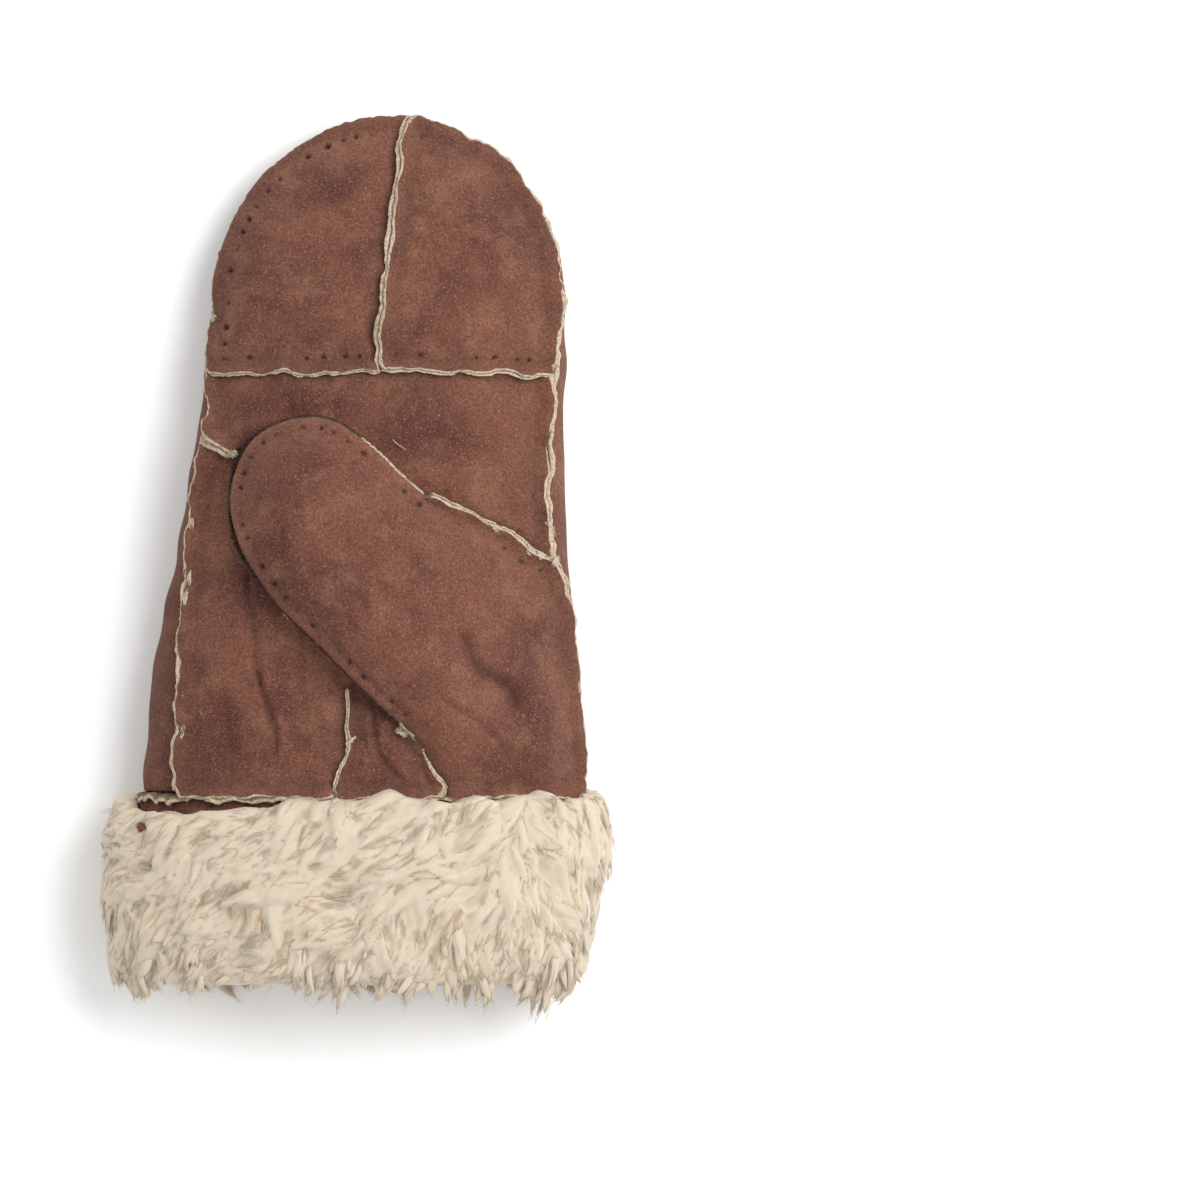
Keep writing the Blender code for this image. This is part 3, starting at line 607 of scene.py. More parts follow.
def graded(count, tightness=0.62):
    """Shares from 0 to 1 that crowd towards both ends."""
    even_share = np.linspace(0, 1, count)
    return even_share - tightness * np.sin(2 * math.pi * even_share) / (2 * math.pi)


def side(at, *pieces):
    """Rows of a patch's side at shares of its way, through pieces that each end at the share given. One line
    alone takes the whole way."""
    if not isinstance(pieces[0], tuple):
        pieces = [(pieces[0], 1.0)]
    result, start = np.empty((len(at), 2)), 0.0
    for line, end in pieces:
        here = (at >= start) & (at <= end)
        run = run_of(line[:, :2])
        reach = (at[here] - start) / (end - start) * run[-1]
        result[here] = np.stack([np.interp(reach, run, line[:, k]) for k in (0, 1)], -1)
        start = end
    return result


def net_of(rows, columns, *sides):
    """A net stretched between four sides, the low, high, left and right one, each given in its pieces: both
    ruled nets added, less the net of the corners. Its lines crowd at its borders."""
    u, v = graded(columns), graded(rows)
    low, high, left, right = (side(at, *pieces) for at, pieces in zip((u, u, v, v), sides))
    u, v = u[None, :, None], v[:, None, None]
    ruled = (1 - v) * low[None] + v * high[None] + (1 - u) * left[:, None] + u * right[:, None]
    corners = (1 - u) * (1 - v) * low[0] + u * (1 - v) * low[-1]
    return ruled - (corners + (1 - u) * v * high[0] + u * v * high[-1])


def grid_normals(grid):
    """Unit cross product of the two directions of a grid."""
    return unit(np.cross(np.gradient(grid, axis=1), np.gradient(grid, axis=0)))


def creased(patch, points):
    """How far the patch's creases sink it in round valleys, with a low bank beside each, and the shade
    painted along them.
    """
    sunk, shade = np.zeros(len(points)), np.zeros(len(points))
    bent_by = 0.0016 * np.stack([lumps(points, 0.03, 71), lumps(points, 0.03, 72)], -1)
    for x0, y0, x1, y1, width, depth in CREASES.get(patch, ()):
        start, end = placed((x0, y0), (x1, y1))
        away = segment_distance(points + bent_by, start, end) / (width * FOLD_WIDTH)
        valley = bell(away, 0, 0.42)
        sunk += depth * FOLD_DEPTH * (valley - 0.28 * np.exp(-((away - 1) ** 2) / 0.2))
        # Painted shade along the middle of each crease.
        shade = np.maximum(shade, np.clip(0.55 * depth, 0, 0.7) * bell(away, 0, 0.22))
    return sunk, shade


def blended(points, line, values):
    """Values known along a line carried to other points, weighed by the cube of their nearness."""
    result = np.empty(len(points))
    for start in range(0, len(points), AT_ONCE):
        part = slice(start, start + AT_ONCE)
        weight = (((points[part, None] - line[None]) ** 2).sum(-1) + 1e-12) ** -1.5
        result[part] = (weight * values).sum(1) / weight.sum(1)
    return result


def edge_lift(line):
    """How far the thumb's free edge is lifted off the palm, not at all at its corners."""
    return THUMB_EDGE_LIFT * from_ends(run_of(line), THUMB_CORNER * THUMB_WIDTH)


def palm_height(points):
    return top(points[:, 0], points[:, 1])


def thumb_under(points):
    """The thumb's underside: the palm's height plus the lift of its free edge, which fades inwards."""
    edge = even(thumb_free_edge(), 0.0015)
    share = np.clip(nearest(points, edge)[0] / (THUMB_WIDTH / 2), 0, 1)
    return palm_height(points) + GAP + blended(points, edge, edge_lift(edge)) * (1 - share) ** 2


def thumb_over(points):
    """The thumb's face and the heel: the palm's height, the walls below it and a dome down to its seams."""
    free = even(thumb_free_edge(), LINE_STEP)
    station = np.linspace(THUMB_SEAM_RIGHT, 1, 200)
    right = edge_point(station, smooth(PALM_SEAM, "out", station))
    seam = through(thumb_seam(right[0]))
    cuff = np.array([right[-1], place(*HEEL_END)])
    heel = through(placed(HEEL_END, *HEEL_SEAM, THUMB_FOOT))
    sewn_edge = even(np.concatenate([seam, right[1:], cuff[1:], heel[1:]]), LINE_STEP)
    walls = 2 * (HIDE + 2 * GAP)
    fade = 1 - from_ends(run_of(sewn_edge), SEAM_CORNER * THUMB_WIDTH)
    line = np.concatenate([free, sewn_edge])
    lift = blended(points, line[::2], np.r_[walls + edge_lift(free), walls * fade][::2])
    share = np.clip(nearest(points, line)[0] / (THUMB_CROWN_REACH * THUMB_WIDTH), 0, 1)
    base = place(*THUMB_TOP) - place(*THUMB_FOOT)
    offset = points - place(*THUMB_FOOT)
    beyond = (offset[:, 0] * base[1] - offset[:, 1] * base[0]) / np.linalg.norm(base)
    crown = THUMB_CROWN + (HEEL_CROWN - THUMB_CROWN) * ease(beyond / (HEEL_REACH * THUMB_WIDTH))
    return palm_height(points) + lift + crown * (1 - (1 - share) ** THUMB_ROUNDING)


# The middle of the brown crumb in the wool, in plan
CRUMB = (-0.0698, -0.0115)

STRIP_LOW, STRIP_HIGH = (np.array(corner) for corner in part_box("cuff_strip"))
SHIFT = np.array(
    [(STRIP_LOW[0] + STRIP_HIGH[0]) / 2 - float(middle(-GAP / 2)), STRIP_HIGH[1] + GAP / 2, 0.0]
)


def new_object(name, points, faces, material, values=(), uv=None):
    """A mesh object from points and faces, with its place in its mesh and named values on its points."""
    mesh = bpy.data.meshes.new(name)
    mesh.from_pydata((np.asarray(points) + SHIFT).tolist(), [], faces)
    for label, numbers in dict(values).items():
        attribute = mesh.attributes.new(label, "FLOAT", "POINT")
        attribute.data.foreach_set("value", np.ascontiguousarray(numbers, np.float32))
    if uv is not None:
        layer = mesh.uv_layers.new(name="along")
        corners = np.empty(len(mesh.loops), np.int32)
        mesh.loops.foreach_get("vertex_index", corners)
        layer.data.foreach_set("uv", np.ascontiguousarray(uv[corners], np.float32).ravel())
    mesh.materials.append(material)
    mesh.shade_smooth()
    mesh.update()
    piece = bpy.data.objects.new(name, mesh)
    bpy.context.scene.collection.objects.link(piece)
    return piece


def grid_faces(rows, columns, first=0):
    """Quads of a grid of points, numbered row by row."""
    index = first + np.arange(rows * columns).reshape(rows, columns)
    return np.stack([index[:-1, :-1], index[:-1, 1:], index[1:, 1:], index[1:, :-1]], -1).reshape(-1, 4)


def shell(name, outer, inner, material, values):
    """A closed sheet from a grid for its face and one for its inside, which keeps every other line."""
    rows, columns = outer.shape[:2]
    inner = inner[::2, ::2]
    few_rows, few_columns = inner.shape[:2]
    face = np.arange(rows * columns).reshape(rows, columns)
    back = rows * columns + np.arange(few_rows * few_columns).reshape(few_rows, few_columns)
    faces = grid_faces(rows, columns).tolist()
    faces += grid_faces(few_rows, few_columns, rows * columns)[:, ::-1].tolist()
    borders = [(face[0], back[0]), (face[:, -1], back[:, -1])]
    borders += [(face[-1, ::-1], back[-1, ::-1]), (face[::-1, 0], back[::-1, 0])]
    for fine, rough in borders:
        a, b, c = fine[:-2:2], fine[1:-1:2], fine[2::2]
        faces += np.stack([b, a, rough[:-1], rough[1:]], -1).tolist()
        faces += np.stack([c, b, rough[1:]], -1).tolist()
    points = np.concatenate([outer.reshape(-1, 3), inner.reshape(-1, 3)])
    full = {}
    for label, numbers in values.items():
        full[label] = np.concatenate([numbers.ravel(), numbers[::2, ::2].ravel()])
    return new_object(name, points, faces, material, full)


def dress(piece, node, slot):
    """Declares a finished piece: it rides on the mitten's body and stands for its node."""
    piece.name = f"{node}_{slot}"
    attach(piece, "root")
    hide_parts(node)


def ridge_values(away, seam):
    """The seam's cross-section at a distance: where the hide goes, how high it stands and how raw it is."""
    width = seam[:, RAW]
    reach = RIDGE["away"][-1] * width
    share = np.clip(away / reach, 0, 1)
    moved = np.where(away < reach, np.interp(share, RIDGE["share"], RIDGE["away"]) * width, away)
    return moved, *(np.interp(share, RIDGE["share"], RIDGE[label]) for label in ("rise", "raw"))


def folded(across, height, seam):
    """The ridge's section laid over to one side: it turns about the foot on that side by the seam's tilt,
    in full at its crest and not at all where it leaves the hide."""
    angle = seam[:, TILT] * ease(1.5 * height / np.maximum(seam[:, RISE], 1e-6))
    foot = np.sign(seam[:, TILT]) * seam[:, RAW]
    cosine, sine = np.cos(angle), np.sin(angle)
    return foot + (across - foot) * cosine + height * sine, height * cosine - (across - foot) * sine


def turned_out(points, across, share, seam):
    """Points near a seam moved onto its ridge, which is frayed along its crest."""
    height = share * seam[:, RISE]
    frayed = height + 0.00014 * (share > 0.8) * (seam[:, RISE] > 0) * lumps(points, 0.0026, 35, 25)
    moved, lifted = folded(across, frayed, seam)
    shifted = points + seam[:, ASIDE] * (moved - across)[:, None] * (share > 0)[:, None]
    return shifted + seam[:, UP] * (lifted * (share > 0))[:, None]


def seam_marks(points, across, raw, seam, seed):
    """Where a seam's hide is raw, worn, grooved and pitted by stitches, from the way across it, with painted
    shade in the crease beside its ridge, in its groove and in its stitch pits.
    """
    away = np.abs(across)
    stands = (seam[:, RISE] > 0) * np.clip(seam[:, RISE] / FULL_RIDGE, 0, 1)
    leans = np.clip(across * np.sign(seam[:, TILT]) / 0.001, -1, 1)
    leans = leans * np.clip(np.abs(seam[:, TILT]), 0, 1)
    # Painted shadow in the crease beside the ridge, deepest on the side that it lies over.
    crease = bell(away, 2.1 * seam[:, RAW], 0.0016) * (0.35 + 0.65 * np.clip(leans, 0, 1))
    faint = ease(0.75 + 0.6 * ripple(seam[:, RUN], (0.037, 0.0171), seed + 9))
    pull = stitch_pull(seam[:, RUN], seed) ** 5 * seam[:, PULL] * faint
    # Stitch pits: dented, and painted dark as shade.
    pits = pull * bell(away, STITCH_ROW, STITCH_SIZE) * np.clip(1 - leans, 0, 1)
    return {
        "raw": raw * stands,
        "shade": np.clip(crease * stands * 0.8, 0, 1),
        # painted shade in the groove between the raw edges
        "groove": stands * np.clip(1 - away / (0.30 * seam[:, RAW]), 0, 1),
        "wear_and_painted_light": np.exp(-away / 0.006) * stands,
        "pits": pits * stands,
    }


def leather_patch(name, net, edge, height, facing=1.0):
    """A patch of hide: a plan net raised to a height, puffed between its seams, its sewn edges turned up.

    Within the seams' reach each point moves along the ridge's section; the free edge of the thumb rounds
    over and dips along its row of stitches.
    """
    suede = bpy.context.scene.mitten_suede
    rows, columns = net.shape[:2]
    plan = net.reshape(-1, 2)
    away, which = nearest(plan, edge[:, :2])
    seam = edge[which]
    stands = seam[:, RISE] > 0
    moved, share, raw = ridge_values(away, seam)
    moved = np.where(stands, moved, away)
    inward = (plan - seam[:, :2]) / np.maximum(away, 1e-9)[:, None]
    across = moved * np.where((inward * seam[:, ASIDE][:, :2]).sum(1) < 0, -1, 1)
    plan = seam[:, :2] + inward * moved[:, None]
    z = height(plan)
    fold = 0 * away
    if facing > 0:
        sunk, fold = creased(name, plan)
        z = z - sunk
        z = z + 0.00040 * lumps(plan, 0.026, 31) + 0.00018 * lumps(plan, 0.0095, 32)
        z = z - 0.0012 * stands * np.exp(-away / 0.0055)
    grid = np.column_stack([plan, z]).reshape(rows, columns, 3)
    up = grid_normals(grid) * facing
    values = seam_marks(plan, across, raw, seam, suede.seed)
    face = turned_out(grid.reshape(-1, 3), across, share * stands, seam)
    free = seam[:, FREE]
    lip = bell(away, 0.0040, 0.0012)
    pits = stitch_pull(seam[:, RUN], 3) ** 5 * bell(away, STITCH_ROW, STITCH_SIZE)
    pits *= ease(0.8 + 0.5 * ripple(seam[:, RUN], (0.041, 0.019), 8))
    cream = ease((0.031 - seam[:, RUN]) / 0.004) * (facing > 0)
    rounding = 1 - np.sqrt(np.clip(1 - np.clip(1 - away / HIDE, 0, 1) ** 2, 0, 1))
    sunk = free * (0.0004 * lip + 0.0010 * pits + 0.0017 * rounding) + 0.0010 * values["pits"]
    face -= up.reshape(-1, 3) * sunk[:, None]
    inward_share = ease(away / 0.006).reshape(rows, columns, 1)
    inner = grid - unit(up * inward_share + (1 - inward_share) * np.array([0, 0, facing])) * suede.hide
    # Painted shade along the lip's row of stitches, on the wall under the thumb's free edge and along the
    # creases.
    values["shade"] = np.clip(values["shade"] + free * (0.10 * lip + (away < 0.0004)) + fold, 0, 1)
    # The stitch pits along the free edge are painted dark as shade too.
    values["pits"] = np.clip(values["pits"] + free * pits, 0, 1)
    values["wear_and_painted_light"] = np.clip(values["wear_and_painted_light"] + free * bell(away, 0, 0.0032), 0, 1)
    values["raw"] = np.maximum(values["raw"], free * (away < 0.0004) * cream)
    values = {label: numbers.reshape(rows, columns) for label, numbers in values.items()}
    face = face.reshape(rows, columns, 3)
    if facing < 0:
        face, inner = face[:, ::-1], inner[:, ::-1]
        values = {label: numbers[:, ::-1] for label, numbers in values.items()}
    return shell(name, face, inner, suede_material(), values)


class Socket:
    """A node socket in Python expressions: each operator adds the Math node it stands for."""

    def __init__(self, shader, link):
        self.shader, self.link = shader, link

    def maths(self, operation, *values):
        return self.shader.add("ShaderNodeMath", {"operation": operation}, *values)

    def __add__(self, other):
        return self.maths("ADD", self, other)

    def __mul__(self, other):
        return self.maths("MULTIPLY", self, other)


class Shader:
    """A material's nodes: one method adds any node, with its settings first and then its sockets."""

    def __init__(self, name):
        self.material = bpy.data.materials.new(name)
        self.material.use_nodes = True
        self.tree = self.material.node_tree
        self.surface = self.tree.nodes["Principled BSDF"]

    def add(self, kind, settings, *values, output=0, **named):
        node = self.tree.nodes.new(kind)
        for key, value in settings.items():
            setattr(node, key, value)
        for key, value in [*enumerate(values), *named.items()]:
            self.feed(node.inputs[key], value)
        return Socket(self, node.outputs[output])

    def feed(self, socket, value):
        if isinstance(value, Socket):
            self.tree.links.new(value.link, socket)
        elif socket.type == "RGBA" and len(value) == 3:
            socket.default_value = (*value, 1.0)
        else:
            socket.default_value = value

    def noise(self, scale, detail=2.0, roughness=0.5, where=None):
        where = where or self.add("ShaderNodeTexCoord", {}, output="Object")
        return self.add(
            "ShaderNodeTexNoise", {}, Vector=where, Scale=scale, Detail=detail, Roughness=roughness
        )

    def ramp(self, value, low, high):
        """0 below low, 1 above high."""
        return self.add("ShaderNodeMapRange", {"interpolation_type": "SMOOTHSTEP"}, value, low, high)

    def value(self, label):
        return self.add("ShaderNodeAttribute", {"attribute_name": label}, output="Fac")

    def bump(self, strength, distance, height, **under):
        values = {"Strength": strength, "Distance": distance, "Height": height, **under}
        return self.add("ShaderNodeBump", {}, **values)

    def mix(self, share, first, second):
        """Colours mixed by a share."""
        node = self.tree.nodes.new("ShaderNodeMix")
        node.data_type = "RGBA"
        self.feed(node.inputs[0], share)
        self.feed(node.inputs[6], first)
        self.feed(node.inputs[7], second)
        return Socket(self, node.outputs[2])

    def finish(self, **values):
        for key, value in values.items():
            self.feed(self.surface.inputs[key.replace("_", " ")], value)
        return self.material


def scaled(colour, factor):
    return tuple(factor * part for part in colour)


def suede_material():
    """Napped suede: mottled by handling, speckled by its nap, cream where cut, lighter where worn and where
    light is painted, with painted shade in its creases, grooves and stitch pits and under the thumb's edge.
    """
    found = bpy.data.materials.get("napped_suede")
    if found:
        return found
    suede = bpy.context.scene.mitten_suede
    shader = Shader("napped_suede")
    broad = shader.ramp(shader.noise(30, 4, 0.62), 0.38, 0.64)
    patchy = shader.ramp(shader.noise(85, 4, 0.65), 0.44, 0.70)
    colour = shader.mix(broad * 0.85, suede.colour[:], suede.dark[:])
    colour = shader.mix(patchy * 0.44, colour, suede.light[:])
    # Light suede where worn, and as painted light over the right side strip.
    colour = shader.mix(shader.value("wear_and_painted_light") * 0.30, colour, suede.light[:])
    nap = shader.noise(1150, 3, 0.75)
    colour = shader.mix(shader.ramp(nap, 0.62, 0.36) * 0.52, colour, scaled(suede.dark, 0.45))
    fibres = shader.ramp(shader.noise(1500, 2, 0.65), 0.56, 0.68)
    colour = shader.mix(fibres * 0.62, colour, scaled(suede.light, 1.30))
    # Painted shade: near black in the creases, beside the ridges, under the thumb's free edge and on the left
    # strip.
    colour = shader.mix(shader.value("shade") * 0.80, colour, (0.022, 0.009, 0.008))
    # Painted shade in the stitch pits.
    pits = shader.ramp(shader.value("pits"), 0.15, 0.80)
    colour = shader.mix(pits * 0.80, colour, (0.022, 0.010, 0.009))
    wool = shader.noise(1500, 3, 0.7)
    cut = shader.mix(shader.ramp(wool, 0.42, 0.72) * 0.85, suede.cut[:], (0.27, 0.17, 0.105))
    frayed = wool * 0.45 + shader.noise(240, 3, 0.6) * 0.75
    colour = shader.mix(shader.ramp(shader.value("raw") + frayed, 1.18, 1.50), colour, cut)
    # Painted shade in the groove between the raw edges.
    groove = shader.ramp(shader.value("groove"), 0.30, 0.9)
    colour = shader.mix(groove * 0.80, colour, (0.05, 0.026, 0.018))
    rough = shader.bump(0.75, 0.0006, nap + fibres * 0.5)
    bump = shader.bump(0.35, 0.0012, shader.noise(330, 4, 0.6), Normal=rough)
    return shader.finish(
        Base_Color=colour,
        Roughness=0.9,
        Normal=bump,
        Specular_IOR_Level=0.12,
        Sheen_Weight=0.12,
        Sheen_Roughness=0.45,
        Sheen_Tint=(0.95, 0.72, 0.58),
    )


def wool_material(name="cream_wool"):
    """Fleece: paler on its locks than in its creases, ochre in places, each lock a little different in
    colour, streaked by its fibres, and with painted shade in its creases, at its locks' roots and in its
    hollows. The matted fleece lets light in; loose fibres are too thin for that."""
    found = bpy.data.materials.get(name)
    if found:
        return found
    fleece = bpy.context.scene.mitten_fleece
    shader = Shader(name)
    depth = shader.value("depth")
    tone_and_hollow_shade = shader.value("tone_and_hollow_shade")
    ochre = shader.ramp(shader.noise(42, 3, 0.6), 0.56, 0.70)
    deep = shader.mix(ochre * 0.75, fleece.deep[:], (0.40, 0.26, 0.12))
    # Painted shade: the deep colour where the depth value is low, in the creases and at the roots.
    colour = shader.mix(shader.ramp(depth, 0.02, 0.42), deep, fleece.pale[:])
    # Each lock's random colour, and painted shade in the fleece's hollows.
    colour = shader.mix(shader.ramp(tone_and_hollow_shade, 0.2, 1.0) * 0.45, colour, (0.545, 0.435, 0.315))
    colour = shader.mix(ochre * 0.16, colour, (0.52, 0.39, 0.23))
    where = shader.add("ShaderNodeUVMap", {"uv_map": "along"})
    streak = shader.noise(1.0, 3, 0.6, where)
    fine = shader.noise(1500, 3, 0.65)
    colour = shader.mix(shader.ramp(streak, 0.42, 0.72) * 0.20, colour, scaled(fleece.pale, 0.72))
    colour = shader.mix(shader.ramp(streak, 0.55, 0.30) * 0.25, colour, scaled(fleece.pale, 1.14))
    colour = shader.mix(shader.ramp(fine, 0.50, 0.72) * 0.14, colour, scaled(fleece.pale, 0.70))
    bump = shader.bump(0.25, 0.0004, fine, Normal=shader.bump(0.30, 0.0004, streak))
    return shader.finish(
        Base_Color=colour,
        Roughness=0.9,
        Normal=bump,
        Specular_IOR_Level=0.12,
        Sheen_Weight=0.15,
        Sheen_Roughness=0.5,
        Sheen_Tint=(1.0, 0.95, 0.86),
        Subsurface_Weight=0.5 if name == "cream_wool" else 0.0,
        Subsurface_Radius=(1.0, 0.85, 0.65),
        Subsurface_Scale=0.0032,
    )


def palm_nets(found):
    """Each palm patch's net and the samples of its edge, from its rows, its columns and its four sides."""
    part = lambda start, end: stretch(found["edge"], start, end)
    one = lambda name: [(found[name], 1.0)]
    patches = {
        "cap_left": (
            151, 141, one("cap_left"), [(part(CAP_CORNER_LEFT, CAP_TOP), 1.0)],
            [(part(CAP_SEAM_LEFT, CAP_CORNER_LEFT), 1.0)], one("cap_middle"),
        ),
        "cap_right": (
            151, 115, one("cap_right"), [(part(CAP_TOP, CAP_CORNER_RIGHT), 1.0)],
            one("cap_middle"), [(part(CAP_CORNER_RIGHT, CAP_SEAM_RIGHT)[::-1], 1.0)],
        ),
        "palm_upper": (
            101, 181,
            [(found["middle"], 0.60), (found["thumb"], 1.0)],
            [(found["cap_left"], 0.50), (found["cap_right"], 1.0)],
            [(part(MIDDLE_SEAM_LEFT, CAP_SEAM_LEFT), 1.0)],
            [(part(CAP_SEAM_RIGHT, THUMB_SEAM_RIGHT)[::-1], 1.0)],
        ),
        "palm_lower": (
            161, 115, one("cuff_left"), one("middle"), [(part(0.0, MIDDLE_SEAM_LEFT), 1.0)],
            [(found["wedge"], 0.66), (found["crease_upper"], 1.0)],
        ),
        "palm_wedge": (101, 71, *(one(name) for name in ("cuff_wedge", "crease_lower", "wedge", "heel"))),
    }
    nets = {}
    for name, (rows, columns, *sides) in patches.items():
        edge = np.concatenate([line for pieces in sides for line, _ in pieces])
        nets[name] = net_of(rows, columns, *sides), edge
    return nets


class MITTEN_OT_palm(bpy.types.Operator):
    """Makes the five suede patches of the palm side, each a net between its seams raised to the palm"""

    bl_idname = "mitten.palm"
    bl_label = "Palm patches"

    def execute(self, context):
        for name, (net, edge) in palm_nets(seams()).items():
            dress(leather_patch(name, net, edge, palm_height), name, "suede")
        return {"FINISHED"}


class MITTEN_OT_thumb(bpy.types.Operator):
    """Makes the thumb's face, cut in one with the heel, and the free thumb's underside"""

    bl_idname = "mitten.thumb"
    bl_label = "Thumb"

    def execute(self, context):
        found = seams()
        free = found["free"]
        upper, tip, lower = np.split(free, [int(0.42 * len(free)), int(0.56 * len(free))])
        upper, lower = np.concatenate([upper, tip[:1]]), np.concatenate([tip[-1:], lower])
        right = stretch(found["edge"], THUMB_SEAM_RIGHT, 1.0)
        low = [(lower, 0.56), (found["heel"][::-1], 1.0)]
        high = [(upper[::-1], 0.50), (found["thumb"], 0.74), (right, 1.0)]
        net = net_of(121, 191, low, high, [tip[::-1]], [found["cuff_heel"]])
        edge = np.concatenate([free, found["heel"], found["thumb"], right, found["cuff_heel"]])
        dress(leather_patch("thumb_front", net, edge, thumb_over), "thumb_front", "suede")
        crease = np.concatenate([found["crease_lower"][::-1], found["crease_upper"]])
        net = net_of(61, 91, [lower], [upper[::-1]], [tip[::-1]], [crease])
        edge = np.concatenate([free, crease])
        dress(leather_patch("thumb_back", net, edge, thumb_under, -1.0), "thumb_back", "suede")
        return {"FINISHED"}


def band_grid(edge, start, end, columns):
    """The side strip: at each station the hand's section from the palm seam over the rim to the back seam.

    Its columns lie at even distances along the section, crowded in the reach of both seams.
    """
    low, high = np.searchsorted(edge[:, STATION], (start, end))
    rows = edge[np.linspace(low, high, (high - low) // 4 * 2 + 1).round().astype(int)]
    station, out = rows[:, STATION, None], rows[:, OUT, None]
    share = np.linspace(1, 0, 60)[None]
    over = edge_point(station + 0 * share, 1 - (1 - out) * share**2)
    below = edge_point(station + 0 * share[:, 1:], 1 - (1 - BACK_SEAM) * share[:, ::-1][:, 1:] ** 2)
    plan = np.concatenate([over, below], axis=1)
    z = np.concatenate([top(*np.moveaxis(over, -1, 0)), bottom(*np.moveaxis(below, -1, 0))], axis=1)
    line = np.dstack([plan, z])
    step = np.linalg.norm(np.diff(line, axis=1), axis=-1)
    run = np.concatenate([np.zeros((len(line), 1)), np.cumsum(step, axis=1)], axis=1)
    length = run[:, -1:]
    away = graded(columns, 0.75)[None] * length

    def ridge(distance):
        parts = ridge_values(distance.ravel(), np.repeat(rows, columns, 0))
        return [part.reshape(away.shape) for part in parts]

    back = length - away
    (moved, share_up, raw), (back_moved, back_up, back_raw) = ridge(away), ridge(back)
    at = np.where(away < length / 2, moved, length - back_moved)
    far = np.arange(len(line))[:, None] * 10.0
    at, run = (at + far).ravel(), (run + far).ravel()
    grid = np.stack([np.interp(at, run, line[..., k].ravel()) for k in range(3)], -1)
    return rows, grid.reshape(*away.shape, 3), away, back, (share_up, back_up), (raw, back_raw)


def band(name, found, start, end):
    """A strip of hide round the edge with both its sewn edges turned out."""
    suede = bpy.context.scene.mitten_suede
    rows, grid, away, back, ups, raws = band_grid(found["edge"], start, end, 51)
    up = unit(np.cross(np.gradient(grid, axis=0), np.gradient(grid, axis=1)))
    out_way = unit(np.gradient(grid, axis=1))
    count, columns = away.shape
    seam = np.repeat(rows[:, :STATION], columns, 0)
    spot = grid.reshape(-1, 3)
    near_palm = (away < back).ravel()
    middle_share = (ups[0] * (away < back)).ravel()
    face = turned_out(spot, away.ravel(), middle_share, seam)
    values = seam_marks(spot, away.ravel(), raws[0].ravel() * near_palm, seam, suede.seed)
    behind = seam.copy()
    behind[:, TILT] = math.radians(20)
    behind[:, RISE] *= 0.6
    behind[:, ASIDE] = -out_way.reshape(-1, 3)
    behind[:, UP] = up.reshape(-1, 3)
    face = face - spot + turned_out(spot, back.ravel(), (ups[1] * (away > back)).ravel(), behind)
    marks = seam_marks(spot, back.ravel(), raws[1].ravel() * ~near_palm, behind, suede.seed + 1)
    values = {label: np.maximum(values[label], marks[label]).reshape(count, columns) for label in values}
    # Painted light: the right strip made lighter, as on the side that the lamp falls on.
    values["wear_and_painted_light"] = np.clip(values["wear_and_painted_light"] + 0.45 * (grid[..., 0] > 0), 0, 1)
    # Painted shade: the left strip made darker, as on the side turned away from the lamp.
    values["shade"] = np.maximum(values["shade"], 0.20 * (grid[..., 0] < 0))
    face = face.reshape(grid.shape)
    face -= up * (0.0007 * values["pits"] + 0.0003 * lumps(grid, 0.022, 33))[..., None]
    face[..., 2] = np.maximum(face[..., 2], 0.0004)
    inner = grid - up * suede.hide
    face, inner = face.transpose(1, 0, 2), inner.transpose(1, 0, 2)
    values = {label: numbers.T for label, numbers in values.items()}
    return shell(name, face, inner, suede_material(), values)


class MITTEN_OT_bands(bpy.types.Operator):
    """Makes the two suede strips round the edge, the hand's section carried along the palm seam"""

    bl_idname = "mitten.bands"
    bl_label = "Side strips"

    def execute(self, context):
        found = seams()
        dress(band("side_band_long", found, 0.0, STRIP_JOINT), "side_band_long", "suede")
        dress(band("side_band_short", found, STRIP_JOINT + 0.0005, 1.0), "side_band_short", "suede")
        return {"FINISHED"}


class MITTEN_OT_back(bpy.types.Operator):
    """Makes the suede back, a net inside the back seam lowered to the hand's underside"""

    bl_idname = "mitten.back"
    bl_label = "Back"

    def execute(self, context):
        seed = context.scene.mitten_suede.seed
        line = lambda start, end: edge_point(np.linspace(start, end, 300), BACK_SEAM)
        left, right = line(0, 0.40), line(0.60, 1.0)[::-1]
        over = line(0.40, 0.60)
        cuff = np.array([left[0], right[0]])
        height = lambda points: np.maximum(bottom(points[:, 0], points[:, 1]), 0.0)
        lines = (cuff, over, left, right)
        pieces = [sewn(p, seed + 200 + i, 0.0, 0.6, 0.0, 0.0, height) for i, p in enumerate(lines)]
        for piece in pieces:
            piece[:, UP] *= -1
        net = net_of(141, 91, *([piece] for piece in pieces))
        back = leather_patch("back_panel", net, np.concatenate(pieces), height, -1.0)
        dress(back, "back_panel", "suede")
        return {"FINISHED"}


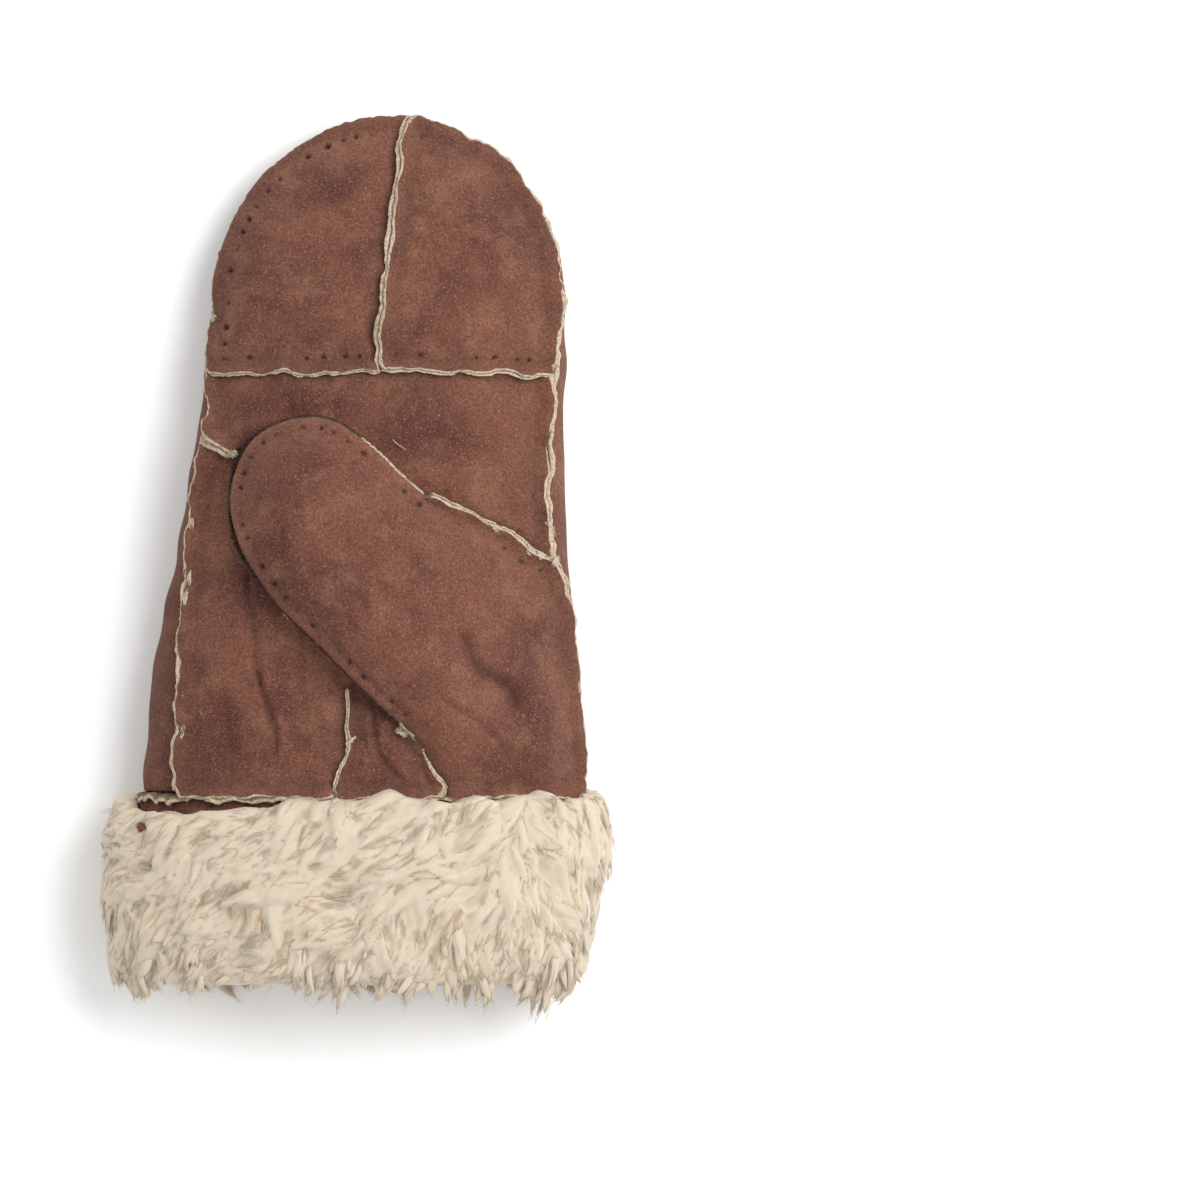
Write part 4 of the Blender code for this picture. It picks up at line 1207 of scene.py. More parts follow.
class MITTEN_OT_cuff_strip(bpy.types.Operator):
    """Makes the suede ring under the cuff's fleece, the hand's section carried down to the mouth"""

    bl_idname = "mitten.cuff_strip"
    bl_label = "Cuff strip"

    def execute(self, context):
        suede = context.scene.mitten_suede
        turn = np.linspace(0, 2 * math.pi, 481)
        run = turn * WRIST_WIDTH / 2
        away = np.r_[np.linspace(0, 0.0052, 24), np.linspace(0.0062, CUFF_DEPTH, 21)]
        count, columns = len(turn), len(away)
        away = np.tile(away, (count, 1))
        circle = ring_point(0 * turn, 0 * turn, turn)
        outward = unit(ring_point(0 * turn, 0 * turn + 0.001, turn) - circle)
        line = np.zeros((count, STATION))
        line[:, RISE] = suede.rise * (1.0 + 0.14 * ripple(run, (0.027, 0.0113), 6))
        line[:, RAW] = suede.raw * (1.0 + 0.26 * ripple(run, (0.021, 0.0093, 0.0047), 7))
        line[:, TILT] = math.radians(48) + math.radians(16) * ripple(run, (0.037, 0.0155, 0.0087), 8)
        line[:, RUN], line[:, ASIDE], line[:, UP] = run, (0, -1, 0), outward
        seam = np.repeat(line, columns, 0)
        moved, up, raw = ridge_values(away.ravel(), seam)
        flat = np.column_stack([np.repeat(run, columns), away.ravel()])
        wavy = (0.0004 * lumps(flat, 0.02, 41)).reshape(away.shape)
        spot = ring_point(-moved.reshape(away.shape), wavy * (away > 0.004), turn[:, None]).reshape(-1, 3)
        face = turned_out(spot, moved, up, seam).reshape(count, columns, 3)
        lining = np.linspace(0, CUFF_DEPTH, 6)[None] + 0 * turn[:, None]
        inner = ring_point(-lining, -suede.hide + 0 * lining, turn[:, None])
        face[..., 2] = np.maximum(face[..., 2], 0.0003)
        values = seam_marks(spot, moved, raw, seam, suede.seed)
        values = {label: numbers.reshape(count, columns)[:-1] for label, numbers in values.items()}
        piece = closed_tube("cuff_strip", face[:-1], inner[:-1], values, suede_material())
        dress(piece, "cuff_strip", "suede")
        return {"FINISHED"}


def closed_tube(name, face, inner, values, material, uv=None):
    """A closed ring from the section that runs along its face and back along its inside."""
    section = np.concatenate([face, inner[:, ::-1]], axis=1)
    rows, columns = section.shape[:2]
    index = np.arange(rows * columns).reshape(rows, columns)
    ahead, beside = np.roll(index, -1, axis=0), np.roll(index, -1, axis=1)
    faces = np.stack([index, beside, np.roll(beside, -1, axis=0), ahead], -1).reshape(-1, 4)
    full = {label: np.concatenate([v, 0 * inner[..., 0]], axis=1).ravel() for label, v in values.items()}
    return new_object(name, section.reshape(-1, 3), faces.tolist(), material, full, uv)


def fleece_section(row):
    """How far the fleece stands out of the hide at a row, and how far below the hand it is."""
    return smooth(FLEECE, "out", row) * CUFF_PILE * CUFF_BULK, smooth(FLEECE, "down", row) * CUFF_DEPTH


def fleece_surface(row, turn, proud=0.0):
    """A point of the cuff's fleece: the section's row, the angle round the hand and how far it stands out.

    Left on the palm side the fleece starts lower, where the strip under it shows.
    """
    near_top = np.clip(1 - row / 3, 0, 1)
    bare = ease((-0.20 - np.cos(turn)) / 0.42) * ease(np.sin(turn) / 0.15)
    wavy = 0.0011 * (np.sin(9 * turn + 1.0) + np.sin(17 * turn + 2.3) + 0.7 * np.sin(31 * turn + 0.5))
    bare, wavy = 0.0058 * bare, wavy * (1 - 0.6 * bare)
    out, down = fleece_section(row)
    return ring_point(-down - (bare - wavy) * near_top, out + proud, turn)


def fleece_grid():
    """Rows and angles of the fleece's grid, the rows at even distances along its section."""
    at = np.linspace(0, LAST_ROW, 221)
    run = run_of(np.stack(fleece_section(at), -1))
    row = np.interp(np.linspace(0, run[-1], FLEECE_ROWS), run, at)
    return row, np.linspace(0, 2 * math.pi, FLEECE_TURNS, endpoint=False)


def fleece_frame(row, turn):
    """Place on the fleece, outward normal, and the combed way along it with slow waves."""
    here = fleece_surface(row, turn)
    down = unit(fleece_surface(row + 0.02, turn) - fleece_surface(row - 0.02, turn))
    round_way = unit(fleece_surface(row, turn + 0.004) - fleece_surface(row, turn - 0.004))
    normal = unit(np.cross(round_way, down))
    right = ease((np.cos(turn) - 0.5) / 0.3)
    lie = 0.70 - 1.15 * right + 0.42 * lumps(here, 0.034, 51) + 0.22 * lumps(here, 0.012, 52)
    way = unit(np.cos(lie)[..., None] * down + np.sin(lie)[..., None] * round_way)
    return here, normal, way


def matted(base, count, size, height, seed):
    """A matted layer of flat locks: its height over the grid, how far its creases are, and the way across
    and along the uppermost lock in metres.

    A lock is a drop in plan, blunt at its root and drawn out to its tip, with half an ellipse as its section.
    It rises towards the tip, so that tips lie over roots, and a narrow crease runs where two locks are level.
    """
    random = np.random.default_rng(seed)
    row, turn = scattered(count, random, 0.1, 10.9)
    root, up, way = fleece_frame(row, turn)
    across = np.cross(up, way)
    grow = random.lognormal(0.0, 0.28, count)
    length, width = 2.3 * size * grow, size * grow**0.7 * random.uniform(0.75, 1.25, count)
    tall, level = height * grow * random.uniform(0.6, 1.1, count), height * random.uniform(-0.3, 0.3, count)
    own, bend = random.uniform(0, 0.09, count), random.uniform(-0.22, 0.22, count)
    root = root - 0.4 * length[:, None] * way
    middle_at = root + 0.5 * length[:, None] * way
    result = np.zeros((*base.shape[:2], 4))
    bare = -0.4 * height
    for i in range(0, base.shape[0], TILE[0]):
        for j in range(0, base.shape[1], TILE[1]):
            tile = slice(i, i + TILE[0]), slice(j, j + TILE[1])
            points = base[tile].reshape(-1, 3)
            centre = points.mean(0)
            reach = np.linalg.norm(points - centre, axis=1).max()
            near = np.flatnonzero(np.linalg.norm(middle_at - centre, axis=1) < reach + 0.6 * length)
            offset = points[:, None] - root[near]
            along = (offset * way[near]).sum(-1) / length[near]
            share = np.clip(along, 0, 1)
            half = width[near] / 2 * np.sqrt(np.clip(3.5 * share, 0, 1)) * (1 - share**1.9) ** 0.7 + 1e-5
            aside = (offset * across[near]).sum(-1) - bend[near] * length[near] * share**2
            inside = (along > 0) & (along < 1) & (np.abs(aside) < half)
            inside &= np.abs((offset * up[near]).sum(-1)) < 0.6 * size + 0.002
            swell = np.clip(1 - (aside / half) ** 2, 0, 1) ** 0.7
            climb = 0.35 + 0.65 * ease(1.3 * share)
            lift = np.where(inside, level[near] + tall[near] * swell * climb, bare)
            at = np.arange(len(points))
            first = lift.argmax(1)
            high = lift[at, first]
            lift[at, first] = bare
            open_share = 1 - np.exp(-(high - lift.max(1)) / (0.22 * height))
            open_share[high < -0.39 * height] = 0.8
            from_root = (share * length[near])[at, first]
            place_in = own[near][first] + aside[at, first], own[near][first] + from_root
            result[tile] = np.stack([high, open_share, *place_in], -1).reshape(*base[tile].shape[:2], 4)
    return result


def softened(values):
    """Each value of the grid mixed with its neighbours, round the hand and along the section."""
    values = (np.roll(values, 1, axis=0) + 2 * values + np.roll(values, -1, axis=0)) / 4
    wide = np.concatenate([values[:, :1], values, values[:, -1:]], axis=1)
    return (wide[:, :-2] + 2 * wide[:, 1:-1] + wide[:, 2:]) / 4


def fleece_core(name):
    """The matted fleece: the cuff's section carried round the hand and raised in large and small locks."""
    row, turn = fleece_grid()
    base = fleece_surface(row[None], turn[:, None])
    large, small = matted(base, 1250, 0.0064, 0.0015, 61), matted(base, 4200, 0.0024, 0.0005, 62)
    relief = softened(large[..., 0] + small[..., 0]) + 0.0006 * lumps(base, 0.024, 65) - 0.0005
    relief_here = relief * ease(1.2 * row) * ease(1.5 * (LAST_ROW - row))
    face = fleece_surface(row[None], turn[:, None], relief_here)
    face[..., 2] = np.maximum(face[..., 2], 0.0)
    last, first = FLEECE["down"][-1] * CUFF_DEPTH, FLEECE["down"][0] * CUFF_DEPTH + 0.007
    inner = ring_point(-np.array([[first, CUFF_DEPTH / 2, last]]), np.full((1, 3), GAP), turn[:, None])
    # Painted shade: the deep colour in the creases between the locks.
    shallow = large[..., 1] * (0.55 + 0.45 * small[..., 1])
    # Painted shade where the fleece lies low, added to a random colour change.
    low = ease((0.0006 - relief) / 0.0014)
    values = {"depth": shallow, "tone_and_hollow_shade": np.clip(0.35 + 0.25 * lumps(face, 0.012, 66) + 0.5 * low, 0, 1)}
    streaks = np.stack([small[..., 2] / 0.00045, small[..., 3] / 0.005], -1)
    uv = np.concatenate([streaks, np.zeros((*inner.shape[:2], 2))], axis=1).reshape(-1, 2)
    return closed_tube(name, face, inner, values, wool_material(), uv), face


def bent(root, way, up, length, rise, curl, steps):
    """Middle lines from their roots: each turns from a rising angle to a falling one, and aside by a curl."""
    t = np.linspace(0, 1, steps + 1)[None]
    tilt = rise[:, :1] + (rise[:, 1:] - rise[:, :1]) * t
    turn = curl[:, None] * (t - 0.2)
    across = np.cross(up, way)
    flat = np.cos(turn)[..., None] * way[:, None] + np.sin(turn)[..., None] * across[:, None]
    tangent = np.cos(tilt)[..., None] * flat + np.sin(tilt)[..., None] * up[:, None]
    path = np.cumsum(tangent, axis=1) * (length / steps)[:, None, None]
    return root[:, None] + path - path[:, :1]


def drawn(path, up, reach, thin, sides):
    """Tubes round each path, as wide as their reach at each step and flattened along their upward way."""
    tangent = unit(np.gradient(path, axis=1))
    across = unit(np.cross(tangent, up[:, None]))
    over = np.cross(across, tangent)
    around = np.linspace(0, 2 * math.pi, sides, endpoint=False)[None, None, :, None]
    ring = np.cos(around) * across[:, :, None] + thin * np.sin(around) * over[:, :, None]
    return path[:, :, None] + ring * reach[..., None, None]


def fibres_of(path, up, each, spread, random, crimp=0.00025):
    """Each path drawn apart into fibres that start over a disc, close in to the tip and are crimped."""
    count, steps = path.shape[0] * each, path.shape[1]
    path, up = np.repeat(path, each, 0), np.repeat(up, each, 0)
    t = np.linspace(0, 1, steps)[None]
    tangent = unit(np.gradient(path, axis=1))
    across = unit(np.cross(tangent, up[:, None]))
    spot, angle = np.sqrt(random.random(count)), random.uniform(0, 2 * math.pi, count)
    close = np.repeat(spread, each)[:, None] * spot[:, None] * (1 - 0.8 * t**1.3)
    aside = np.cos(angle)[:, None] * close
    aside = aside + crimp * np.sin(2 * math.pi * (2.3 * t + random.random(count)[:, None]))
    over = 0.35 * np.sin(angle)[:, None] * close
    slide = random.uniform(-0.25, 0.25, count)[:, None, None] * (path[:, -1:] - path[:, :1])
    return path + slide + aside[..., None] * across + over[..., None] * up[:, None], up


def tube_faces(count, steps, sides):
    """Quads along each lock and a polygon at each end."""
    index = np.arange(count * (steps + 1) * sides).reshape(count, steps + 1, sides)
    beside = np.roll(index, -1, axis=2)
    walls = np.stack([index[:, :-1], beside[:, :-1], beside[:, 1:], index[:, 1:]], -1).reshape(-1, 4)
    return walls.tolist() + index[:, 0, ::-1].tolist() + index[:, -1].tolist()


def wool_tubes(name, path, up, width, thin, sides, random, depth=(0.6, 1.0), blunt=1.7, material=None):
    """A piece of wool tubes that swell quickly from the root and taper to the tip, above the surface."""
    count, steps = path.shape[0], path.shape[1] - 1
    t = np.linspace(0, 1, steps + 1)[None]
    reach = (width / 2)[:, None] * (np.sqrt(np.clip(t * 4, 0, 1)) * (1 - t**blunt) ** 0.6 + 0.06)
    path = path.copy()
    path[..., 2] = np.maximum(path[..., 2], reach * thin + 0.0003)
    points = drawn(path, up, reach, thin, sides)
    points[..., 2] = np.maximum(points[..., 2], 0.0002)
    shape = points.shape[:3]
    wide = lambda values: np.broadcast_to(values, shape)
    around = np.abs(np.linspace(0, 1, sides, endpoint=False) - 0.5)[None, None]
    own = random.uniform(0, 90, count)[:, None, None]
    uv = np.stack([wide(own + 8 * around * sides), wide(own + 1.6 * t[..., None])], -1).reshape(-1, 2)
    values = {
        # Painted shade: deeper colour towards each tube's root.
        "depth": wide((depth[0] + (depth[1] - depth[0]) * t)[..., None]).ravel(),
        "tone_and_hollow_shade": wide(random.random(count)[:, None, None]).ravel(),
    }
    faces = tube_faces(count, steps, sides)
    return new_object(name, points.reshape(-1, 3), faces, material or wool_material("loose_wool"), values, uv)


def scattered(count, random, low, high, back=0.6):
    """Seeded places on the fleece, by area and less dense on the back: rows and angles."""
    rows, turns = np.linspace(low, high, 90), np.linspace(0, 2 * math.pi, 240)
    grid = fleece_surface(rows[:, None], turns[None])
    cells = np.linalg.norm(np.cross(np.diff(grid, axis=0)[:, :-1], np.diff(grid, axis=1)[:-1]), axis=-1)
    cells = cells * np.where(np.sin(turns[:-1]) < -0.25, back, 1.0)
    chance = np.cumsum(cells.ravel()) / cells.sum()
    pick = np.searchsorted(chance, (np.arange(count) + random.random(count)) / count)
    row, turn = np.unravel_index(np.minimum(pick, cells.size - 1), cells.shape)
    row = np.clip(rows[row] + random.random(count) * (rows[1] - rows[0]), 0.05, 10.9)
    turn = turns[turn] + random.random(count) * (turns[1] - turns[0])
    order = random.permutation(count)
    return row[order], turn[order]


def on_fleece(face, row, turn, sunk):
    """Places on the raised fleece, a little sunk into it, with their outward normals and combed ways."""
    rows, turns = fleece_grid()
    i = np.rint(turn / (2 * math.pi) * len(turns)).astype(int) % len(turns)
    j = np.clip(np.searchsorted(rows, row), 0, len(rows) - 1)
    _, up, way = fleece_frame(row, turn)
    return face[i, j] - sunk * up, up, way


def loose_wool(piece):
    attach(piece, "root")


class MITTEN_OT_fleece(bpy.types.Operator):
    """Makes the cuff's fleece: a matted core of flat locks, tapered locks at its edges and fine fibres"""

    bl_idname = "mitten.fleece"
    bl_label = "Cuff fleece"

    def execute(self, context):
        fleece = context.scene.mitten_fleece
        random = np.random.default_rng(fleece.seed)
        core, face = fleece_core("cuff_fleece")
        dress(core, "cuff_fleece", "fleece")
        self.edge_locks(face, fleece, random)
        self.top_tufts(face, random)
        self.fibres(face, fleece, random)
        self.crumb(face, random)
        return {"FINISHED"}

    def edge_locks(self, face, fleece, random):
        """Tapered locks past the lower edge, longer at the right, each with fibres drawn out of it."""
        count = fleece.locks
        seen = count * 3 // 4
        turn = np.r_[random.uniform(-0.25, 3.4, seen), random.uniform(3.4, 6.0, count - seen)]
        row = random.uniform(5.4, 8.2, count)
        side_on = np.abs(np.cos(turn)) > 0.93
        row = np.where(side_on, random.uniform(1.5, 8.4, count), row)
        here, up, way = on_fleece(face, row, turn, 0.0022)
        way = unit(way + np.array([0.0, -0.8, 0.0]))
        right = ease((np.cos(turn) - 0.6) / 0.3)
        length = fleece.lock_length * random.lognormal(0.0, 0.25, count) * (1 + 0.25 * right)
        rise = np.stack([random.uniform(0.15, 0.40, count), random.uniform(-0.40, -0.05, count)], -1)
        path = bent(here, way, up, length, rise, random.uniform(-0.9, 0.9, count), 6)
        width = fleece.lock_width * random.uniform(0.6, 1.25, count)
        loose_wool(wool_tubes("cuff_locks", path, up, width, 0.45, 8, random, (0.6, 1.0), 2.4))
        path, up = fibres_of(path + 0.0003 * up[:, None], up, 7, width * 0.60, random, 0.0003)
        width = random.uniform(0.00020, 0.00040, len(path))
        loose_wool(wool_tubes("cuff_wisps", path, up, width, 0.8, 3, random, (0.8, 1.0)))

    def top_tufts(self, face, random):
        """Small soft tufts that lie up over the leather at the fleece's upper edge."""
        count = 120
        turn = random.uniform(0.06, 3.08, count)
        here, up, way = on_fleece(face, random.uniform(0.9, 1.7, count), turn, 0.0010)
        way = random.uniform(-0.7, 0.7, count)[:, None] * way * (1.0, 0.2, 1.0)
        way = unit(way + np.array([0.0, 1.0, 0.0]))
        way = unit(way - up * (way * up).sum(-1, keepdims=True))
        length = random.uniform(0.0022, 0.0046, count)
        rise = np.stack([np.full(count, 0.35), random.uniform(-1.1, -0.6, count)], -1)
        path = bent(here, way, up, length, rise, random.uniform(-0.9, 0.9, count), 5)
        width = random.uniform(0.0016, 0.0034, count)
        loose_wool(wool_tubes("cuff_tufts", path, up, width, 0.5, 6, random, (0.7, 1.0), 3.0))
        path, up = fibres_of(path, up, 12, width * 0.75, random, 0.0003)
        width = random.uniform(0.00022, 0.00040, len(path))
        loose_wool(wool_tubes("cuff_tuft_fibres", path, up, width, 0.8, 3, random, (0.7, 1.0)))

    def fibres(self, face, fleece, random):
        """Fine fibres that lie almost flat on the locks and blur their creases and the outline."""
        each = 6
        row, turn = scattered(fleece.strands // each, random, 0.6, 10.2, 0.4)
        here, up, way = on_fleece(face, row, turn, 0.0003)
        count = len(row)
        length = 0.7 * fleece.lock_length * random.lognormal(0.0, 0.25, count)
        rise = np.stack([random.uniform(0.03, 0.20, count), random.uniform(-0.20, -0.04, count)], -1)
        path = bent(here, way, up, length, rise, random.uniform(-1.1, 1.1, count), 4)
        path, up = fibres_of(path, up, each, np.full(count, 0.0022), random)
        width = random.uniform(0.00020, 0.00042, len(path))
        loose_wool(wool_tubes("cuff_fibres", path, up, width, 0.6, 3, random, (0.7, 1.0)))

    def crumb(self, face, random):
        """A brown crumb of hide caught in the wool near the left end of the upper edge."""
        flat = (face[..., :2] - np.array(CRUMB)) ** 2
        i, j = np.unravel_index((flat.sum(-1) + (face[..., 2] < 0.02)).argmin(), face.shape[:2])
        spread = [[-0.0012, 0.0002, 0.0001], [-0.0008, -0.0008, 0.0], [-0.0002, 0.0007, 0.0004]]
        root = face[i, j] + np.array(spread)
        up = np.tile((0.0, 0.0, 1.0), (3, 1))
        way = unit(np.array([[1.0, 0.15, 0.1], [1.0, 0.5, 0.1], [1.0, -0.6, 0.0]]))
        length, rise = np.array([0.0030, 0.0021, 0.0022]), np.tile((0.35, -0.3), (3, 1))
        path = bent(root, way, up, length, rise, np.array([0.6, -0.5, 0.9]), 5)
        width = np.array([0.0028, 0.0018, 0.0020])
        path += 0.0005 * up[:, None]
        piece = wool_tubes("cuff_crumb", path, up, width, 0.5, 6, random, (0.0, 0.0), 3.0, suede_material())
        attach(piece, "root")


# Tufts of wool that come out along the seams: the seam, the share along it, how far aside and out of the
# hide, the way against the seam's own, fibres, their length and how far they spread, in millimetres
TUFTS = (
    ("edge", 0.222, 0.8, 1.8, 0.3, 16, 5.0, 1.2),
    ("edge", 0.214, 0.8, 1.6, 3.0, 12, 4.0, 1.0),
    ("edge", 0.174, 1.0, 1.8, 0.2, 14, 5.0, 1.3),
    ("edge", 0.152, 1.0, 1.6, 3.3, 12, 6.0, 0.9),
    ("edge", 0.138, 1.0, 1.6, 0.2, 12, 6.5, 0.9),
    ("edge", 0.124, 1.0, 1.6, 3.0, 12, 6.0, 0.9),
    ("edge", 0.107, 0.8, 1.6, 0.8, 14, 4.0, 1.5),
    ("edge", 0.056, 0.6, 1.8, 3.1, 22, 7.0, 1.7),
    ("edge", 0.046, 0.6, 1.8, 0.1, 22, 7.0, 2.0),
    ("edge", 0.034, 0.6, 1.6, 3.3, 18, 6.0, 1.7),
    ("edge", 0.022, 0.6, 1.4, 0.3, 12, 5.0, 1.2),
    ("edge", 0.306, 0.6, 1.0, 1.2, 8, 3.5, 1.2),
    ("edge", 0.668, 0.0, 1.4, 3.3, 20, 5.5, 1.6),
    ("edge", 0.676, 0.4, 1.4, 0.3, 16, 4.5, 1.4),
    ("edge", 0.706, 1.0, 1.0, 0.6, 9, 3.5, 1.0),
    ("edge", 0.829, 1.2, 1.2, 0.9, 14, 5.0, 1.5),
    ("edge", 0.851, 0.2, 2.0, 2.4, 18, 4.0, 1.5),
    ("middle", 0.150, -0.4, 2.2, 0.0, 22, 4.5, 1.4),
    ("middle", 0.300, -0.4, 1.8, 0.2, 16, 3.5, 1.3),
    ("thumb", 0.240, 0.5, 1.8, 0.6, 9, 3.0, 1.0),
    ("thumb", 0.540, 0.5, 1.8, -0.5, 10, 3.0, 1.1),
    ("thumb", 0.860, 0.5, 1.8, 0.2, 20, 4.5, 1.5),
    ("thumb", 0.930, 0.5, 1.8, 0.2, 18, 4.0, 1.4),
    ("heel", 0.975, 0.0, 2.2, 0.5, 34, 3.6, 2.1),
    ("wedge", 0.550, 0.4, 1.2, 0.4, 8, 3.0, 0.8),
    ("wedge", 0.250, 0.4, 1.2, -0.6, 9, 3.5, 0.9),
    ("free", 0.572, 1.0, -6.0, 0.2, 22, 4.0, 1.4),
    ("free", 0.590, 1.0, -6.0, -0.3, 20, 4.0, 1.4),
    ("free", 0.728, 0.8, -5.0, 0.2, 20, 4.0, 1.3),
    ("free", 0.748, 0.8, -5.0, -0.2, 18, 4.0, 1.3),
)
# A stray hair: its place as shares of the half width and of the hand's length, its way and its length
HAIR = ((0.075, 0.5215), (0.68, -0.72), 0.0065)


class MITTEN_OT_tufts(bpy.types.Operator):
    """Makes the small tufts of wool that come out along the seams, and one stray hair on the palm"""

    bl_idname = "mitten.tufts"
    bl_label = "Tufts and hairs"

    def execute(self, context):
        random = np.random.default_rng(context.scene.mitten_fleece.seed + 7)
        found = seams()
        paths, ups = [], []
        for name, share, aside, out, turn, each, length, spread in TUFTS:
            seam = found[name]
            if name == "edge":
                here, ahead = np.searchsorted(seam[:, STATION], (share, share + 0.004))
            else:
                here = int(share * (len(seam) - 4))
                ahead = here + 3
            row, up = seam[here], seam[here, UP]
            height = thumb_over if name == "free" else palm_height
            root = np.array([*row[:2], height(row[None, :2])[0]]) + 0.001 * (aside * row[ASIDE] + out * up)
            along = unit(np.array([*(seam[ahead, :2] - row[:2]), 0.0]))
            along = unit(along - up * (along @ up))
            way = math.cos(turn) * along + math.sin(turn) * np.cross(up, along)
            rise, curl = np.array([[0.2, -0.3]]), random.uniform(-1.2, 1.2, 1)
            root = root - 0.0004 * length * way
            path = bent(root[None], way[None], up[None], np.array([0.001 * length]), rise, curl, 5)
            path, up = fibres_of(path, up[None], each, np.array([0.001 * spread]), random, 0.0004)
            paths.append(path)
            ups.append(up)
        path, up = np.concatenate(paths), np.concatenate(ups)
        width = random.uniform(0.00022, 0.00050, len(path))
        loose_wool(wool_tubes("seam_tufts", path, up, width, 1.0, 4, random, (0.9, 1.0)))
        spot, way, length = HAIR
        plan = place(*spot)[None]
        up = surface_normals(plan, palm_height)
        root = np.column_stack([plan, palm_height(plan) + 0.0010])
        rise, curl = np.array([[0.3, -0.3]]), np.array([0.5])
        path = bent(root, np.array([[*way, 0.0]]), up, np.array([length]), rise, curl, 8)
        loose_wool(wool_tubes("stray_hair", path, up, np.array([0.0003]), 1.0, 5, random, (1.0, 1.0)))
        return {"FINISHED"}


class MITTEN_OT_lining(bpy.types.Operator):
    """Makes the fleece pocket inside the hand, rings of the hand's section closed at the fingertips"""

    bl_idname = "mitten.lining"
    bl_label = "Lining"

    def execute(self, context):
        sides, straight, domed = 96, 70, 14
        skins = []
        turn = np.linspace(0, 2 * math.pi, sides, endpoint=False)[None]
        dome = np.sin(np.linspace(0, math.pi / 2, domed + 1)[1:-1])
        for inset in (LINING_INSET, LINING_INSET + LINING_PILE):
            y = np.r_[np.linspace(-CUFF_DEPTH, CAP_BASE, straight), CAP_BASE + (CAP_RISE - inset) * dome]
            plain = ring_point(y[:, None], -inset + 0 * turn, turn)
            soft = lumps(plain, 0.008, 81, 25) * 0.0006 * (inset > LINING_INSET)
            rings = ring_point(y[:, None], -inset + soft, turn)
            tip_y = HAND_LENGTH - inset
            tip = np.array([[middle(tip_y), tip_y, rim(tip_y)]])
            skins.append(np.concatenate([rings.reshape(-1, 3), tip]))
        rows, count = len(y), len(y) * sides + 1
        index = np.arange(rows * sides).reshape(rows, sides)
        beside = np.roll(index, -1, axis=1)
        quads = np.stack([index[:-1], index[1:], beside[1:], beside[:-1]], -1).reshape(-1, 4)
        centre = skins[0][quads].mean(axis=1)
        low, high = placed(THUMB_FOOT, THUMB_TOP)
        wide = 0.42 * THUMB_WIDTH
        hole = (centre[:, 0] > low[0]) & (centre[:, 0] < high[0] + wide) & (centre[:, 1] > low[1] + wide)
        hole &= (centre[:, 1] < high[1]) & (centre[:, 2] > rim(centre[:, 1]))
        quads = quads[~hole]
        caps = np.stack([index[-1], 0 * index[-1] + rows * sides, beside[-1]], -1)
        ends = np.concatenate(
            [part[:, [k, (k + 1) % part.shape[1]]] for part in (quads, caps) for k in range(part.shape[1])]
        )
        code, mirror = ends[:, 0] * count + ends[:, 1], ends[:, 1] * count + ends[:, 0]
        loose = ends[~np.isin(code, mirror)]
        wall = np.stack([loose[:, 1], loose[:, 0], loose[:, 0] + count, loose[:, 1] + count], -1)
        faces = quads.tolist() + caps.tolist() + (quads[:, ::-1] + count).tolist()
        faces += (caps[:, ::-1] + count).tolist() + wall.tolist()
        points = np.concatenate(skins)
        values = {"depth": np.full(2 * count, 0.5), "tone_and_hollow_shade": np.full(2 * count, 0.5)}
        uv = points[:, :2] * 900
        piece = new_object("fleece_lining", points, faces, wool_material(), values, uv)
        dress(piece, "fleece_lining", "fleece")
        return {"FINISHED"}


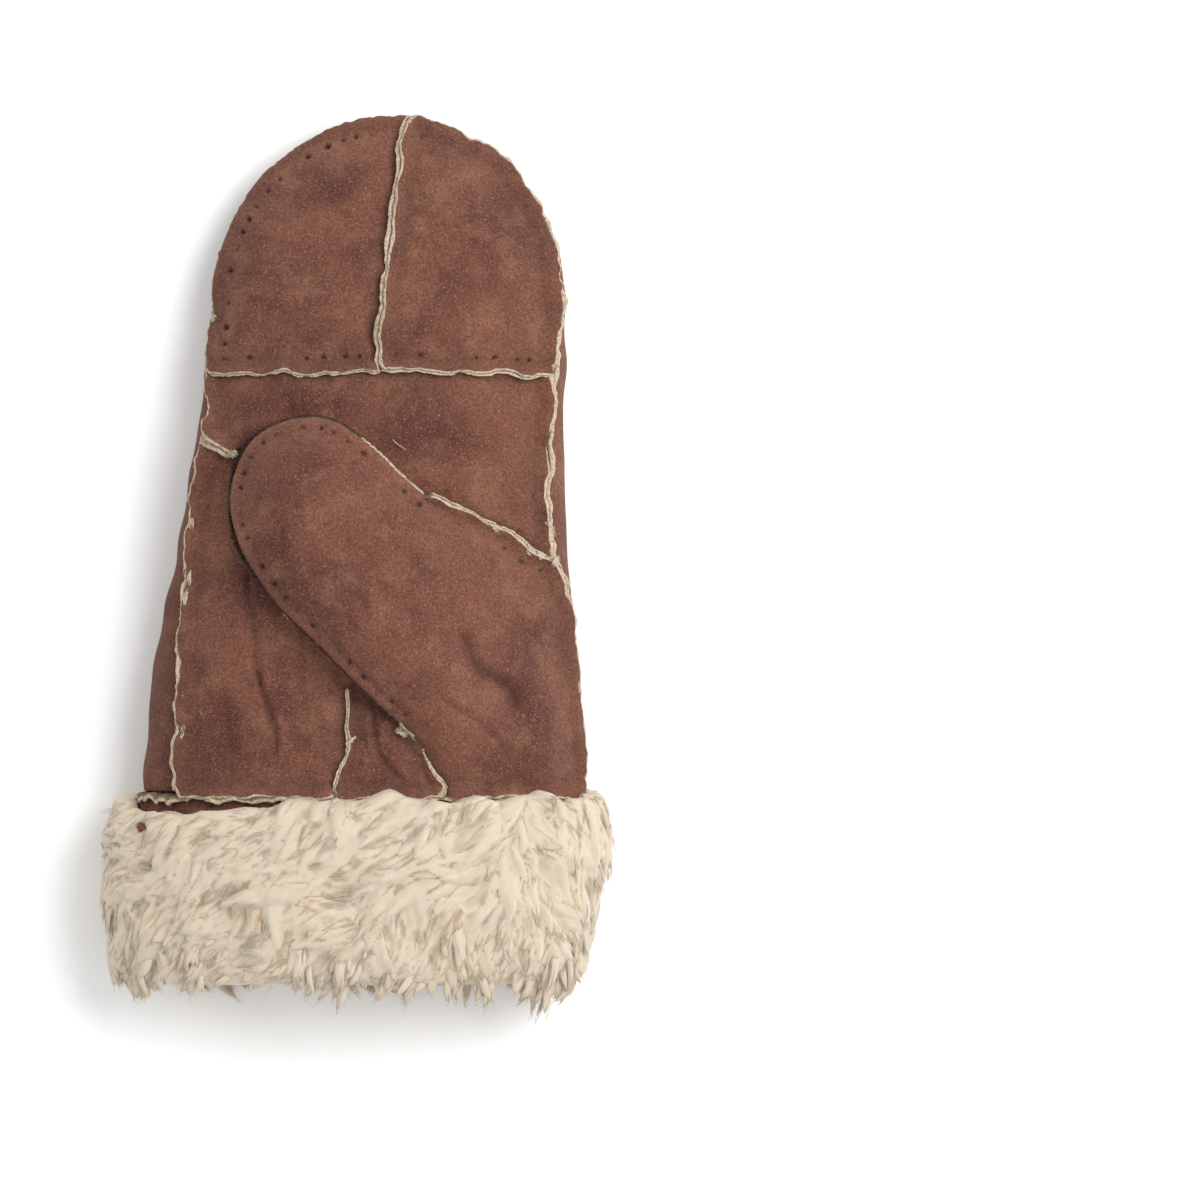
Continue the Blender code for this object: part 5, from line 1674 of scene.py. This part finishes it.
class MITTEN_OT_stage(bpy.types.Operator):
    """Lays the pale surface, hangs the soft light and puts the camera straight above the picture's middle"""

    bl_idname = "mitten.stage"
    bl_label = "Stage"

    def execute(self, context):
        stage = context.scene.mitten_stage
        scene = context.scene
        mesh = bpy.data.meshes.new("floor")
        mesh.from_pydata([(-4, -4, 0), (4, -4, 0), (4, 4, 0), (-4, 4, 0)], [], [(0, 1, 2, 3)])
        shader = Shader("pale_floor")
        mesh.materials.append(shader.finish(Base_Color=stage.floor[:], Roughness=0.9))
        floor = bpy.data.objects.new("floor", mesh)
        scene.collection.objects.link(floor)
        world = bpy.data.worlds.new("soft_room")
        world.use_nodes = True
        background = world.node_tree.nodes["Background"].inputs
        background["Color"].default_value = (1, 1, 1, 1)
        background["Strength"].default_value = stage.room
        scene.world = world
        add_light("key", (0.80, 0.42, 1.35), 1.0, stage.power)
        rim_height = float(rim(np.array(0.08)))
        across, up = PHOTO_MIDDLE[0] - ORIGIN_PIXEL[0], ORIGIN_PIXEL[1] - PHOTO_MIDDLE[1]
        centre = np.array([across * PIXEL, up * PIXEL, 0]) + SHIFT
        camera = bpy.data.objects.new("camera", bpy.data.cameras.new("camera"))
        camera.data.sensor_width = 36.0
        camera.data.lens = 36.0 * (stage.distance - rim_height) / stage.width
        camera.location = (centre[0], centre[1], stage.distance)
        scene.collection.objects.link(camera)
        scene.camera = camera
        scene.view_settings.view_transform = "Standard"
        return {"FINISHED"}


def add_light(name, place_at, size, power):
    light = bpy.data.lights.new(name, "AREA")
    light.shape, light.size, light.energy = "DISK", size, power
    lamp = bpy.data.objects.new(name, light)
    lamp.location = place_at
    lamp.rotation_euler = (-Vector(place_at)).to_track_quat("-Z", "Y").to_euler()
    bpy.context.scene.collection.objects.link(lamp)


class MITTEN_PT_panel(bpy.types.Panel):
    """Lists the mitten's pieces and their sizes"""

    bl_idname = "MITTEN_PT_panel"
    bl_label = "Mitten"
    bl_space_type = "VIEW_3D"
    bl_region_type = "UI"
    bl_category = "Mitten"

    def draw(self, context):
        for label in ("mitten_suede", "mitten_fleece", "mitten_stage"):
            group = getattr(context.scene, label)
            for name in group.__annotations__:
                self.layout.prop(group, name)
        for operator in OPERATORS:
            self.layout.operator(operator.bl_idname)


SETTINGS = {"mitten_suede": SuedeSettings, "mitten_fleece": FleeceSettings, "mitten_stage": StageSettings}
OPERATORS = (
    MITTEN_OT_palm,
    MITTEN_OT_thumb,
    MITTEN_OT_bands,
    MITTEN_OT_back,
    MITTEN_OT_cuff_strip,
    MITTEN_OT_fleece,
    MITTEN_OT_tufts,
    MITTEN_OT_lining,
    MITTEN_OT_stage,
)


def register():
    for item in (*SETTINGS.values(), *OPERATORS, MITTEN_PT_panel):
        bpy.utils.register_class(item)
    for label, item in SETTINGS.items():
        setattr(bpy.types.Scene, label, PointerProperty(type=item))


def unregister():
    for label in SETTINGS:
        delattr(bpy.types.Scene, label)
    for item in (MITTEN_PT_panel, *OPERATORS[::-1], *SETTINGS.values()):
        bpy.utils.unregister_class(item)


def main():
    register()
    bpy.ops.mitten.palm()
    bpy.ops.mitten.thumb()
    bpy.ops.mitten.bands()
    bpy.ops.mitten.back()
    bpy.ops.mitten.cuff_strip()
    bpy.ops.mitten.fleece()
    bpy.ops.mitten.tufts()
    bpy.ops.mitten.lining()
    bpy.ops.mitten.stage()


if __name__ == "__main__":
    main()
